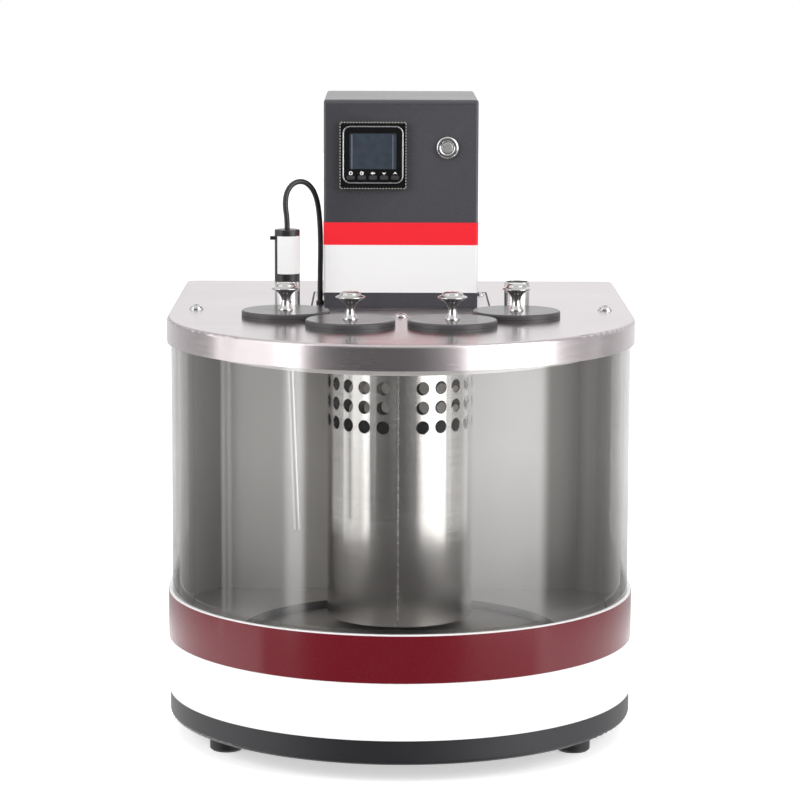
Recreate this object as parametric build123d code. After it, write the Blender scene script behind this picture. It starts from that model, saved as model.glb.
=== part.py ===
from build123d import *
import math
import os

# Kinematic viscosity bath: a D-shaped heated tank with a clear wall, a stainless
# lid with four covered viscometer holes, and a control tower that also holds the
# stirrer. Millimetres, +Z up, the front towards -Y.
# The origin is on the surface that the feet stand on, under the middle of the lid.

# Plan of the body
lid_radius = 168.0
lid_depth = 393.0
front_y = -lid_depth / 2
lid_rear_y = lid_depth / 2
arc_y = front_y + lid_radius
body_rear_gap = 2.5
body_rear_y = lid_rear_y - body_rear_gap

# Heights of the stacked body, from the feet up
foot_height = 14.0
plinth_height = 17.5
white_height = 40.0
band_height = 33.5
window_height = 180.0
lid_height = 17.5
plinth_bottom = foot_height
shell_bottom = plinth_bottom + plinth_height
band_bottom = shell_bottom + white_height
shell_top = band_bottom + band_height
lid_bottom = shell_top + window_height
lid_top = lid_bottom + lid_height

# Base
foot_diameter = 24.0
foot_bevel = 1.5
foot_recess = 9.6
foot_front_margin = 26.7
foot_front_angle = 29.5
foot_side_margin = 45.0
foot_rear_margin = 44.0
foot_screw_hole = 4.4
foot_screw_clearance = 0.1
plinth_inset = 0.9
plinth_wall = 2.0
plinth_edge = 3.0
base_corner = 3.0
shell_wall = 1.2
shell_lip = 1.2
band_skin = 0.4
band_margin = 0.8
band_rear_gap = 14.0
vent_length = 46.0
vent_width = 3.0
vent_pitch = 9.0
vent_count = 7
vent_rise = 8.5

# Tank
floor_top = 58.0
sheet = 1.5
glass_inset = 3.0
glass_radius = lid_radius - glass_inset
glass_thickness = 5.0
gasket_height = 2.0
seal_width = 2.0
casing_gap = 1.8
casing_depth = 40.2
casing_rear_y = body_rear_y - casing_gap
casing_front_y = casing_rear_y - casing_depth
glass_rear_y = casing_front_y - seal_width
glass_bottom = floor_top + gasket_height
glass_top = lid_bottom + lid_height - sheet - gasket_height
chamfer_width = 20.0
back_panel_gap = 14.2
back_panel_y = casing_rear_y - back_panel_gap
panel_clearance = 0.5
mouth_clearance = 0.3
floor_clearance = 0.2
post_diameter = 12.0
post_margin = 44.0
post_angle = 20.0
rear_post_spread = 110.0
rear_post_margin = 24.0
middle_post_y = 120.0

# Lid
lid_edge = 2.5
lid_corner = 8.0
cover_diameter = 63.0
cover_thickness = 5.0
cover_bevel = 0.9
cover_groove_depth = 0.5
cover_groove_bottom = 1.1
cover_groove_height = 0.6
cover_hole = 54.0
spigot_clearance = 0.6
spigot_depth = 6.0
cover_arc_radius = 86.0
cover_arc_y = -15.0
cover_angles = {"left": -73.5, "front_left": -24.5, "front_right": 24.5, "right": 73.5}
knob_head = 20.5
knob_waist = 5.6
knob_foot = 10.5
knob_height = 20.5
knob_foot_height = 1.6
knob_rim = 1.6
knob_shoulder = 2.4
knob_dome = 2.2
cover_screw_diameter = 4.0
cover_screw_head = 8.0
cover_screw_head_height = 3.0
cover_screw_clearance = 0.1
cover_spigot_wall = 3.0
cover_web = 1.0
hole_clearance = 0.05
lid_screw_head = 10.0
lid_screw_height = 3.0
lid_screw_shank = 4.2
lid_screw_length = 8.0
lid_screw_margin = 19.0
lid_screw_y = 5.0
middle_screw_y = -40.0
plate_screw_head = 6.4
plate_screw_height = 2.2
plate_screw_shank = 3.2
plate_screw_length = 6.0
plate_screw_inset = 4.0
plate_screw_setback = 16.2
screw_slot_width = 0.8
screw_slot_depth = 0.9
ledge_margin = 7.0
ledge_lap = 5.8
ledge_cylinder_gap = 0.7

# Mounting plate, guide cylinder and stirrer share one axis
stirrer_y = 57.0
plate_width = 129.6
plate_depth = 114.4
plate_side_gap = 1.1
plate_front_gap = 0.3
plate_half = plate_width / 2
plate_front_y = stirrer_y - plate_depth / 2
plate_rear_y = stirrer_y + plate_depth / 2
cylinder_diameter = 109.0
cylinder_wall = 1.2
cylinder_clear = 8.0
hole_row_depths = (58.5, 73.0, 87.5)
hole_diameter = 10.0
hole_columns = 23
hole_turn = 2.0
shaft_diameter = 8.0
shaft_clearance = 0.05
shaft_floor_gap = 34.0
shaft_bottom = floor_top + shaft_floor_gap
bearing_diameter = 16.0
bearing_flange = 3.0
bearing_flange_height = 2.0
bearing_height = 12.0
bearing_seat_gap = 0.01
impeller_radius = 38.0
impeller_height = 16.0
impeller_hub = 18.0
blade_count = 3
blade_thickness = 2.0
blade_pitch = 38.0
blade_tip_gap = 1.5
motor_diameter = 42.0
motor_length = 45.0
motor_shaft = 6.0
motor_shaft_gap = 1.0
motor_cap = 13.4
motor_cap_height = 3.0
motor_edge = 2.0
bracket_size = 56.0
bracket_sheet = 3.0
bracket_height = 30.0
bracket_top = lid_top + bracket_height
bracket_bore = 16.8
pillar_diameter = 7.0
pillar_inset = 5.0
coupling_diameter = 16.0
coupling_length = 20.0
coupling_gap = 4.0
coupling_bottom = lid_top + coupling_gap
coupling_middle = coupling_bottom + coupling_length / 2
coupling_top = coupling_bottom + coupling_length

# Heater
heater_margin = 50.0
heater_radius = lid_radius - heater_margin
heater_y = -1.0
heater_tube = 6.4
heater_gap = 24.0
heater_floor_gap = 0.3
heater_leg_length = 14.0
heater_leg_clearance = 0.1
clip_diameter = 2.4
clip_height = 9.0
clip_angle = 33.0
clip_gap = 0.3

# Control tower
tower_width = 113.0
tower_depth = 130.0
tower_height = 151.5
tower_front_y = 23.7
tower_rear_y = tower_front_y + tower_depth
tower_wall = 1.5
rear_panel_y = tower_rear_y - tower_wall
tower_top_bend = 4.0
tower_corner = 2.0
tower_skin = 0.3
tower_foot_height = 10.2
white_panel_height = 35.1
red_panel_height = 16.5
white_panel_bottom = lid_top + tower_foot_height
red_panel_bottom = white_panel_bottom + white_panel_height
tower_top = lid_top + tower_height

# Controller, set in the tower's front
controller_x = -20.5
controller_z = lid_top + 111.1
controller_size = 48.0
controller_proud = 5.0
face_y = tower_front_y - controller_proud
controller_cutout = 45.0
case_size = 44.6
case_depth = 58.0
clip_lug = 2.5
clip_lug_height = 14.0
clip_lug_depth = 6.0
bezel_corner = 1.5
face_width = 43.4
face_height = 41.0
face_corner = 5.0
face_rise = 1.0
face_lift = 0.6
screen_recess = 0.4
screen_thickness = 0.8
screen_clearance = 0.05
screen_corner = 1.0
screen_width = 34.4
screen_height = 26.2
screen_z = lid_top + 114.3
key_width = 6.0
key_height = 3.0
key_pitch = 8.1
key_z = lid_top + 95.2
key_count = 5
key_corner = 1.0
key_proud = 0.7
key_depth = 3.2
key_pocket = 3.0
key_clearance = 0.2

# Push button
button_x = 33.9
button_z = lid_top + 116.8
button_ring_diameter = 14.0
button_ring_height = 1.6
button_ring_bevel = 0.5
button_barrel = 11.6
button_barrel_length = 16.0
button_nut = 8.2
button_nut_height = 3.0
button_well = 9.0
button_cap = 8.0
button_cap_length = 9.0
button_proud = 1.0
button_edge = 0.6
button_clearance = 0.1

# Tower rear
fan_size = 60.0
fan_depth = 15.0
fan_z = lid_top + 96.0
fan_corner = 3.0
fan_hub = 24.0
fan_blades = 7
fan_blade_thickness = 1.2
fan_blade_pitch = 35.0
fan_tip_gap = 1.2
fan_bore = 56.0
fan_shaft = 3.0
fan_arm = 4.0
fan_arm_depth = 2.0
fan_float = 1.0
grille_slots = 9
grille_pitch = 6.0
grille_slot_height = 3.0
grille_margin = 1.0
rear_screw_diameter = 6.0
rear_screw_height = 2.0
rear_screw_inset = 7.0
rear_screw_heights = (lid_top + 10.0, lid_top + 76.0, tower_top - 10.0)
rear_panel_clearance = 0.2
flange_width = 48.0
flange_height = 24.0
flange_depth = 2.0
flange_corner = 3.0
inlet_width = 27.6
inlet_height = 19.6
inlet_depth = 20.0
inlet_clearance = 0.2
socket_width = 23.0
socket_height = 15.0
socket_depth = 14.0
inlet_pins = [(-7.0, -1.5), (0.0, 2.0), (7.0, -1.5)]
inlet_pin_width = 2.0
inlet_pin_height = 4.0
inlet_pin_recess = 3.0
inlet_x = -22.0
power_z = lid_top + 32.0
rocker_x = 28.0
rocker_width = 13.0
rocker_length = 19.0
rocker_angle = 8.0
rocker_depth = 3.0
rocker_middle = 3.2
rocker_end = 4.4
rocker_side_clearance = 0.35
rocker_end_clearance = 1.1
rocker_axis_depth = 2.0
rocker_axis_y = tower_rear_y - rocker_axis_depth
rocker_pin = 2.4
switch_rim = 3.5
switch_rim_depth = 1.5
switch_corner = 2.0
switch_wall = 1.9
switch_depth = 14.0
switch_well = 10.0

# Ports, probe and its cable
port_diameter = 18.4
port_wall = 1.2
port_height = 19.6
port_drop = 6.0
port_y = 14.0
probe_x = -83.0
thermometer_x = 85.0
head_diameter = 18.4
head_height = 38.0
head_edge = 0.8
head_plug_length = 12.0
head_plug_clearance = 0.1
head_tab = 3.2
head_tab_width = 5.0
head_tab_height = 2.5
head_tab_drop = 5.0
rod_diameter = 5.5
rod_seat = 10.0
rod_tip = 1.2
rod_reach = 166.0
rod_lean = 2.2
cable_diameter = 3.9
grommet_x = -59.5
grommet_y = 40.0
grommet_diameter = 5.8
grommet_height = 2.5
grommet_edge = 0.6
head_bottom = lid_top + port_height
head_top = head_bottom + head_height
cable_route = [
    (probe_x, port_y, head_top),
    (probe_x, port_y, head_top + 7.5),
    (-84.6, 15.6, head_top + 17.5),
    (-83.6, 18.6, head_top + 27.0),
    (-78.6, 23.2, head_top + 33.4),
    (-71.2, 28.8, head_top + 34.2),
    (-64.9, 33.6, head_top + 28.6),
    (-61.4, 36.4, head_top + 19.0),
    (-59.9, 38.0, head_top + 7.0),
    (-59.2, 38.9, head_top - 7.0),
    (-59.2, 39.6, head_top - 22.0),
    (grommet_x, grommet_y, head_top - 37.0),
    (grommet_x, grommet_y, lid_top + grommet_height),
]
longest_bend_share = 0.45

stirrer_axis = Pos(0, stirrer_y, 0)


def cylinder(diameter, bottom, top, x=0.0, y=0.0):
    return Pos(x, y, (bottom + top) / 2) * Cylinder(diameter / 2, top - bottom)


def tube(diameter, bore, bottom, top, x=0.0, y=0.0):
    return cylinder(diameter, bottom, top, x, y) - cylinder(bore, bottom, top, x, y)


def block(x0, x1, y0, y1, z0, z1):
    centre = Pos((x0 + x1) / 2, (y0 + y1) / 2, (z0 + z1) / 2)
    return centre * Box(x1 - x0, y1 - y0, z1 - z0)


def facing(x, y, z, sketch, depth):
    """A sketch drawn as seen from the front, pushed back by depth from the plane at y."""
    plane = Plane(origin=(x, y, z), x_dir=(1, 0, 0), z_dir=(0, -1, 0))
    return extrude(plane * sketch, -depth)


def d_solid(radius, rear_y, bottom, top, corner=0.0):
    """A D-shaped slab: a half circle at the front and straight sides to the rear."""
    front = ThreePointArc((-radius, arc_y), (0, arc_y - radius), (radius, arc_y))
    sides = Polyline((radius, arc_y), (radius, rear_y), (-radius, rear_y), (-radius, arc_y))
    face = make_face(front + sides)
    if corner:
        face = fillet(face.vertices().sort_by(Axis.Y)[-2:], corner)
    return Pos(0, 0, bottom) * extrude(face, top - bottom)


def u_sheet(radius, thickness, rear_y, bottom, top):
    """A sheet bent round the front half circle and open at the rear."""
    inner = d_solid(radius - thickness, rear_y + 1, bottom, top)
    return d_solid(radius, rear_y, bottom, top) - inner


def bore(diameter, x, y, bottom, top, over=1.0):
    """A cutter for an upright hole that runs a little past both faces."""
    return cylinder(diameter, bottom - over, top + over, x, y)


def screw(x, y, head_diameter, head_height, shank, length):
    """A domed screw that points down from the lid's top face, with a straight slot."""
    radius = (head_diameter**2 / 4 + head_height**2) / (2 * head_height)
    top = lid_top + head_height
    head = Pos(x, y, top - radius) * Sphere(radius) & cylinder(head_diameter, lid_top, top, x, y)
    half = screw_slot_width / 2
    head -= block(x - head_diameter, x + head_diameter, y - half, y + half, top - screw_slot_depth, top + 1)
    return head + cylinder(shank, lid_top - length, lid_top, x, y)


def base_plinth():
    radius = lid_radius - plinth_inset
    rear = body_rear_y - plinth_inset
    inside = plinth_bottom + plinth_wall
    tray = d_solid(radius, rear, plinth_bottom, shell_bottom, base_corner + plinth_edge)
    tray = fillet(tray.faces().sort_by(Axis.Z)[0].edges(), plinth_edge)
    tray -= d_solid(radius - plinth_wall, rear - plinth_wall, inside, shell_bottom, base_corner)
    for i in range(vent_count):
        y = (i - (vent_count - 1) / 2) * vent_pitch
        tray -= block(-vent_length / 2, vent_length / 2, y, y + vent_width, plinth_bottom - 1,
                      plinth_bottom + vent_rise)
    for x, y in foot_places().values():
        tray -= bore(foot_screw_hole, x, y, plinth_bottom, inside)
    return tray


def on_front_arc(margin, angle):
    """A place at a margin inside the lid's front arc, at an angle forward of straight sideways."""
    reach, turn = lid_radius - margin, math.radians(angle)
    return reach * math.cos(turn), arc_y - reach * math.sin(turn)


def foot_places():
    front_x, front_place_y = on_front_arc(foot_front_margin, foot_front_angle)
    rear_x, rear_place_y = lid_radius - foot_side_margin, body_rear_y - foot_rear_margin
    return {
        "front_left": (-front_x, front_place_y),
        "front_right": (front_x, front_place_y),
        "rear_left": (-rear_x, rear_place_y),
        "rear_right": (rear_x, rear_place_y),
    }


def foot(x, y):
    body = cylinder(foot_diameter, 0, foot_height, x, y)
    body = chamfer(body.edges().sort_by(Axis.Z)[0], foot_bevel)
    pin = cylinder(foot_screw_hole - foot_screw_clearance, foot_height, foot_height + plinth_wall, x, y)
    return body - cylinder(foot_recess, -1, foot_height * 0.4, x, y) + pin


def base_shell():
    inner_corner = base_corner - shell_wall
    inside = lid_radius - band_skin - shell_wall
    shell = d_solid(lid_radius - band_skin, body_rear_y, shell_bottom, shell_top, base_corner)
    shell -= d_solid(inside, body_rear_y - shell_wall, shell_bottom, shell_top - shell_lip, inner_corner)
    mouth = d_solid(glass_radius + mouth_clearance, casing_rear_y + mouth_clearance, shell_top - shell_lip, shell_top)
    return shell - mouth


def colour_band():
    rear = body_rear_y - band_rear_gap
    return u_sheet(lid_radius, band_skin, rear, band_bottom, shell_top - band_margin)


def tank_floor():
    """The floor sheet, with holes for the heater's legs and two small pins that keep its ring in place."""
    radius = lid_radius - band_skin - shell_wall - floor_clearance
    rear = body_rear_y - shell_wall - floor_clearance
    plate = d_solid(radius, rear, floor_top - sheet, floor_top, base_corner - shell_wall)
    reach = heater_radius - (heater_tube + clip_diameter) / 2 - clip_gap
    turn = math.radians(clip_angle)
    for side in (-1, 1):
        plate -= bore(heater_tube + 2 * heater_leg_clearance, *heater_leg(side), floor_top - sheet, floor_top)
        x, y = side * reach * math.cos(turn), heater_y - reach * math.sin(turn)
        plate += cylinder(clip_diameter, floor_top, floor_top + clip_height, x, y)
    return plate


def floor_posts():
    front_x, front_place_y = on_front_arc(post_margin, post_angle)
    rear_place_y = body_rear_y - rear_post_margin
    places = [(-front_x, front_place_y), (front_x, front_place_y), on_front_arc(post_margin, 90)]
    places += [(-rear_post_spread, rear_place_y), (rear_post_spread, rear_place_y), (0, middle_post_y)]
    bottom, top = plinth_bottom + plinth_wall, floor_top - sheet
    return Compound([cylinder(post_diameter, bottom, top, x, y) for x, y in places])


def glass_wall():
    return u_sheet(glass_radius, glass_thickness, glass_rear_y, glass_bottom, glass_top)


def glass_gaskets():
    lower = u_sheet(glass_radius, glass_thickness, glass_rear_y, floor_top, glass_bottom)
    upper = u_sheet(glass_radius, glass_thickness, glass_rear_y, glass_top, lid_top - sheet)
    return Compound([lower, upper])


def seal_strips():
    strips = []
    for side in (-1, 1):
        inner, outer = sorted((side * (glass_radius - glass_thickness), side * glass_radius))
        strips.append(block(inner, outer, glass_rear_y, casing_front_y, floor_top, lid_top - sheet))
    return Compound(strips)


def rear_casing():
    top = lid_top - sheet
    casing = block(-glass_radius, glass_radius, casing_front_y, casing_rear_y, floor_top, top)
    inner = glass_radius - sheet
    casing -= block(-inner, inner, casing_front_y + sheet, casing_rear_y - sheet, floor_top, top)
    mouth = glass_radius - glass_thickness
    return casing - block(-mouth, mouth, casing_front_y - 1, casing_front_y + sheet + 1, floor_top, top)


def back_panel():
    """The sheet across the rear of the bath, with a chamfer at each side."""
    front = casing_front_y + sheet
    inner = glass_radius - sheet
    edge = inner - panel_clearance
    bend = edge - sheet - chamfer_width
    over = 9
    corners = [(-edge, front), (-bend, back_panel_y), (bend, back_panel_y), (edge, front)]
    behind = make_face(Polyline(*corners, (edge, front - over), (-edge, front - over), close=True))
    outside = offset(behind, sheet, kind=Kind.INTERSECTION)
    panel = Pos(0, 0, floor_top) * extrude(outside - behind, lid_top - sheet - floor_top)
    return panel & block(-inner, inner, front, back_panel_y + over, floor_top, lid_top - sheet)


def cover_places():
    places = {}
    for name, angle in cover_angles.items():
        turn = math.radians(angle)
        x = cover_arc_radius * math.sin(turn)
        places[name] = (x, cover_arc_y - cover_arc_radius * math.cos(turn))
    return places


def lid_screw_places():
    side = lid_radius - lid_screw_margin
    return [(-side, lid_screw_y), (side, lid_screw_y), (0.0, middle_screw_y)]


def plate_screw_places():
    side, y = plate_half - plate_screw_inset, plate_rear_y - plate_screw_setback
    return [(-side, y), (side, y)]


def lid():
    """A sheet pan with a ledge that carries the mounting plate flush with its top."""
    pan = d_solid(lid_radius, lid_rear_y, lid_bottom, lid_top, lid_corner)
    pan = fillet(pan.faces().sort_by(Axis.Z)[-1].edges(), lid_edge)
    pan -= d_solid(lid_radius - sheet, lid_rear_y - sheet, lid_bottom, lid_top - sheet, lid_corner - sheet)
    ledge_half = plate_half + ledge_margin
    ledge = block(-ledge_half, ledge_half, plate_front_y - ledge_margin, plate_rear_y + ledge_margin,
                  lid_top - 2 * sheet, lid_top - sheet)
    lap = cylinder_diameter / 2 + ledge_cylinder_gap
    mouth_half = plate_half - ledge_lap
    pan += ledge - block(-mouth_half, mouth_half, stirrer_y - lap, stirrer_y + lap, lid_bottom, lid_top)
    seat_half = plate_half + plate_side_gap
    pan -= block(-seat_half, seat_half, plate_front_y - plate_front_gap, plate_rear_y + plate_side_gap,
                 lid_top - sheet, lid_top + 1)
    holes = [(cover_hole, place) for place in cover_places().values()]
    holes += [(port_diameter + 2 * hole_clearance, (x, port_y)) for x in (probe_x, thermometer_x)]
    holes += [(lid_screw_shank + 2 * hole_clearance, place) for place in lid_screw_places()]
    holes += [(plate_screw_shank + 2 * hole_clearance, place) for place in plate_screw_places()]
    for diameter, (x, y) in holes:
        pan -= bore(diameter, x, y, lid_bottom, lid_top)
    return pan


def mounting_plate():
    plate = block(-plate_half, plate_half, plate_front_y, plate_rear_y, lid_top - sheet, lid_top)
    plate -= bore(bearing_diameter, 0, stirrer_y, lid_bottom, lid_top)
    for x, y in plate_screw_places():
        plate -= bore(plate_screw_shank + 2 * hole_clearance, x, y, lid_bottom, lid_top)
    return plate


def cover():
    spigot = cover_hole - 2 * spigot_clearance
    disc = cylinder(cover_diameter, 0, cover_thickness)
    disc = chamfer(disc.edges().sort_by(Axis.Z)[-1], cover_bevel)
    groove_top = cover_groove_bottom + cover_groove_height
    disc -= tube(cover_diameter + 2 * cover_groove_depth, cover_diameter - 2 * cover_groove_depth, cover_groove_bottom, groove_top)
    disc += tube(spigot, spigot - 2 * cover_spigot_wall, -spigot_depth, 0)
    disc += cylinder(spigot, -cover_web, 0)
    return disc - bore(cover_screw_diameter + 2 * cover_screw_clearance, 0, 0, -cover_web, cover_thickness)


def knob():
    """Turned knob: a wide foot, a narrow waist that flares up to the head, and a domed top."""
    foot, waist, head = knob_foot / 2, knob_waist / 2, knob_head / 2
    waist_z, rim_z, shoulder_z = knob_height * 0.3, knob_height * 0.7, knob_height - knob_dome
    bore_radius, bore_top = cover_screw_diameter / 2, knob_height * 0.35
    shoulder = head - knob_shoulder
    outline = Polyline((bore_radius, bore_top), (bore_radius, 0), (foot, 0), (foot, knob_foot_height))
    outline += Spline((foot, knob_foot_height), (waist + 0.6, waist_z * 0.6), (waist, waist_z),
                      tangents=((-0.5, 0.6), (0, 1)))
    outline += Spline((waist, waist_z), (waist + 1.3, knob_height * 0.5), (head, rim_z), tangents=((0, 1), (1, 0.55)))
    outline += Polyline((head, rim_z), (head, rim_z + knob_rim), (shoulder, shoulder_z))
    outline += Spline((shoulder, shoulder_z), (head * 0.42, knob_height - 0.5), (0, knob_height))
    outline += Polyline((0, knob_height), (0, bore_top), (bore_radius, bore_top))
    return revolve(Plane.XZ * make_face(outline), Axis.Z)


def cover_screws():
    """The screws that hold the knobs, from below."""
    screws = []
    head_top_z = lid_top - cover_web
    for x, y in cover_places().values():
        top = lid_top + cover_thickness + knob_height * 0.3
        shank = cylinder(cover_screw_diameter, head_top_z, top, x, y)
        screws.append(shank + cylinder(cover_screw_head, head_top_z - cover_screw_head_height, head_top_z, x, y))
    return Compound(screws)


def lid_screws():
    large = (lid_screw_head, lid_screw_height, lid_screw_shank, lid_screw_length)
    small = (plate_screw_head, plate_screw_height, plate_screw_shank, plate_screw_length)
    screws = [screw(x, y, *large) for x, y in lid_screw_places()]
    screws += [screw(x, y, *small) for x, y in plate_screw_places()]
    return Compound(screws)


def guide_cylinder():
    """The open cylinder round the stirrer, with rows of holes near its top and a plain strip at its seam."""
    bottom, top = floor_top + cylinder_clear, lid_top - sheet
    body = tube(cylinder_diameter, cylinder_diameter - 2 * cylinder_wall, bottom, top, 0, stirrer_y)
    for i in range(1, hole_columns):
        turn = 360 * i / hole_columns + hole_turn
        for depth in hole_row_depths:
            drill = Rot(0, 0, turn) * Pos(0, -cylinder_diameter / 2, lid_top - depth) * Rot(90, 0, 0)
            body -= stirrer_axis * drill * Cylinder(hole_diameter / 2, 5 * cylinder_wall)
    return body


def bearing():
    running = shaft_diameter + 2 * shaft_clearance
    flange = bearing_diameter + 2 * bearing_flange
    top = lid_top + bearing_flange_height
    bush = tube(bearing_diameter - 2 * bearing_seat_gap, running, lid_top - bearing_height, top, 0, stirrer_y)
    return bush + tube(flange, running, lid_top, top, 0, stirrer_y)


def stirrer_shaft():
    return cylinder(shaft_diameter, shaft_bottom, coupling_middle, 0, stirrer_y)


def shaft_coupling():
    body = cylinder(coupling_diameter, coupling_bottom, coupling_top, 0, stirrer_y)
    body -= cylinder(shaft_diameter, coupling_bottom, coupling_middle, 0, stirrer_y)
    return body - cylinder(motor_shaft + 2 * shaft_clearance, coupling_middle, coupling_top, 0, stirrer_y)


def impeller():
    top = shaft_bottom + impeller_height
    rotor = cylinder(impeller_hub, shaft_bottom, top, 0, stirrer_y)
    reach = impeller_radius - shaft_diameter / 2 - blade_tip_gap
    for i in range(blade_count):
        blade = Box(reach, blade_thickness, impeller_height * 1.1)
        blade = Pos(impeller_radius - reach / 2, 0, 0) * Rot(90 - blade_pitch, 0, 0) * blade
        turn = Pos(0, 0, (shaft_bottom + top) / 2) * Rot(0, 0, 360 * i / blade_count)
        rotor += stirrer_axis * turn * blade
    return rotor - bore(shaft_diameter, 0, stirrer_y, shaft_bottom, top, impeller_height)


def motor_bracket():
    half = bracket_size / 2
    under = bracket_top - bracket_sheet
    deck = block(-half, half, stirrer_y - half, stirrer_y + half, under, bracket_top)
    deck -= bore(bracket_bore, 0, stirrer_y, under, bracket_top)
    reach = half - pillar_inset
    for x in (-reach, reach):
        for y in (-reach, reach):
            deck += cylinder(pillar_diameter, lid_top, under, x, stirrer_y + y)
    return deck


def stirrer_motor():
    top = bracket_top + motor_length
    body = cylinder(motor_diameter, bracket_top, top, 0, stirrer_y)
    body = fillet(body.edges().sort_by(Axis.Z)[-1], motor_edge)
    body += cylinder(motor_cap, top, top + motor_cap_height, 0, stirrer_y)
    return body + cylinder(motor_shaft, coupling_middle + motor_shaft_gap, bracket_top, 0, stirrer_y)


def heater_half_gap():
    return math.asin(heater_gap / 2 / heater_radius)


def heater_leg(side):
    turn = heater_half_gap()
    return side * heater_radius * math.sin(turn), heater_y - heater_radius * math.cos(turn)


def heater_ring():
    """An open ring of sheathed heater tube that rests on the floor, with two legs down through it."""
    z = floor_top + heater_tube / 2 + heater_floor_gap
    half_gap = math.degrees(heater_half_gap())
    path = CenterArc((0, heater_y, z), heater_radius, -90 + half_gap, 360 - 2 * half_gap)
    section = Plane(origin=path @ 0, z_dir=path % 0) * Circle(heater_tube / 2)
    ring = sweep(section, path=path)
    for side in (-1, 1):
        x, y = heater_leg(side)
        ring += cylinder(heater_tube, floor_top - heater_leg_length, z, x, y)
        ring += Pos(x, y, z) * Sphere(heater_tube / 2)
    return ring


def tower_box(grow):
    half = tower_width / 2 + grow
    return block(-half, half, tower_front_y - grow, tower_rear_y, lid_top, tower_top + grow)


def control_housing():
    body = tower_box(0)
    front_top = body.edges().filter_by(Axis.X).group_by(Axis.Z)[-1].sort_by(Axis.Y)[0]
    body = fillet([front_top], tower_top_bend)
    body = fillet(body.edges().filter_by(Axis.Z).group_by(Axis.Y)[0], tower_corner)
    half = tower_width / 2 - tower_wall
    body -= block(-half, half, tower_front_y + tower_wall, tower_rear_y, lid_top, tower_top - tower_wall)
    y, depth = tower_front_y - 1, tower_wall + 2
    body -= facing(controller_x, y, controller_z, Rectangle(controller_cutout, controller_cutout), depth)
    return body - facing(button_x, y, button_z, Circle(button_barrel / 2 + button_clearance), depth)


def tower_band(bottom, height):
    """A coloured band wrapped round the front and both sides of the tower."""
    half = tower_width / 2
    top = bottom + height
    skin = block(-half - tower_skin, half + tower_skin, tower_front_y - tower_skin, tower_rear_y, bottom, top)
    skin = fillet(skin.edges().filter_by(Axis.Z).group_by(Axis.Y)[0], tower_corner + tower_skin)
    core = block(-half, half, tower_front_y, tower_rear_y + 1, bottom, top)
    core = fillet(core.edges().filter_by(Axis.Z).group_by(Axis.Y)[0], tower_corner)
    return skin - core


def behind(x, z, sketch, depth, start=0.0):
    """A sketch in the tower's rear face, pushed into the tower by depth from start outside the face."""
    return facing(x, tower_rear_y + start - depth, z, sketch, depth)


def tower_rear_panel():
    """The rear cover, with a slotted grille over the fan and cut-outs for the socket and the switch."""
    half = tower_width / 2 - tower_wall - rear_panel_clearance
    top = tower_top - tower_wall - rear_panel_clearance
    panel = block(-half, half, rear_panel_y, tower_rear_y, lid_top, top)
    over = 1
    depth = tower_wall + 2 * over
    for i in range(grille_slots):
        rise = (i - (grille_slots - 1) / 2) * grille_pitch
        width = 2 * math.sqrt((fan_bore / 2 - grille_margin) ** 2 - rise**2)
        panel -= behind(0, fan_z + rise, Rectangle(width, grille_slot_height), depth, over)
    inlet = Rectangle(inlet_width + 2 * inlet_clearance, inlet_height + 2 * inlet_clearance)
    barrel = Rectangle(rocker_width + 2 * switch_wall + 0.2, rocker_length + 2 * switch_wall + 0.2)
    panel -= behind(inlet_x, power_z, inlet, depth, over)
    return panel - behind(rocker_x, power_z, barrel, depth, over)


def rear_panel_screws():
    screws = []
    side = tower_width / 2 - rear_screw_inset
    for x in (-side, side):
        for z in rear_screw_heights:
            screws.append(behind(x, z, Circle(rear_screw_diameter / 2), rear_screw_height, rear_screw_height))
    return Compound(screws)


def fan_frame():
    """A square fan frame with a round bore, four arms at its front and the pin that the rotor turns on."""
    front = rear_panel_y - fan_depth
    frame = facing(0, front, fan_z, RectangleRounded(fan_size, fan_size, fan_corner), fan_depth)
    frame -= facing(0, front - 1, fan_z, Circle(fan_bore / 2), fan_depth + 2)
    arms = Rectangle(fan_bore + 1, fan_arm) + Rectangle(fan_arm, fan_bore + 1) + Circle(fan_hub / 2)
    frame += facing(0, front, fan_z, arms, fan_arm_depth)
    return frame + facing(0, front, fan_z, Circle(fan_shaft / 2), fan_depth - fan_arm_depth - fan_float)


def fan_rotor():
    front = rear_panel_y - fan_depth + fan_arm_depth + fan_float
    depth = fan_depth - fan_arm_depth - 2 * fan_float
    rotor = facing(0, front, fan_z, Circle(fan_hub / 2), depth)
    reach = fan_bore / 2 - fan_tip_gap
    length = reach - fan_hub / 2 + fan_blade_thickness
    for i in range(fan_blades):
        blade = Rot(fan_blade_pitch, 0, 0) * Box(length, fan_blade_thickness, depth * 0.95)
        turn = Rot(0, 360 * i / fan_blades, 0) * Rot(90, 0, 0)
        rotor += Pos(0, front + depth / 2, fan_z) * turn * Pos(reach - length / 2, 0, 0) * blade
    return rotor - facing(0, front - 1, fan_z, Circle(fan_shaft / 2 + shaft_clearance), fan_depth)


def power_inlet():
    """A mains socket: a flange, a body through the panel, and three pins in its well."""
    flange = RectangleRounded(flange_width, flange_height, flange_corner)
    inlet = behind(inlet_x, power_z, flange, flange_depth, flange_depth)
    inlet += behind(inlet_x, power_z, Rectangle(inlet_width, inlet_height), inlet_depth)
    well_depth = socket_depth + flange_depth + 1
    inlet -= behind(inlet_x, power_z, Rectangle(socket_width, socket_height), well_depth, flange_depth + 1)
    pin = Rectangle(inlet_pin_width, inlet_pin_height)
    for x, z in inlet_pins:
        inlet += behind(inlet_x + x, power_z + z, pin, socket_depth + 1 - inlet_pin_recess, -inlet_pin_recess)
    return inlet


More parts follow.
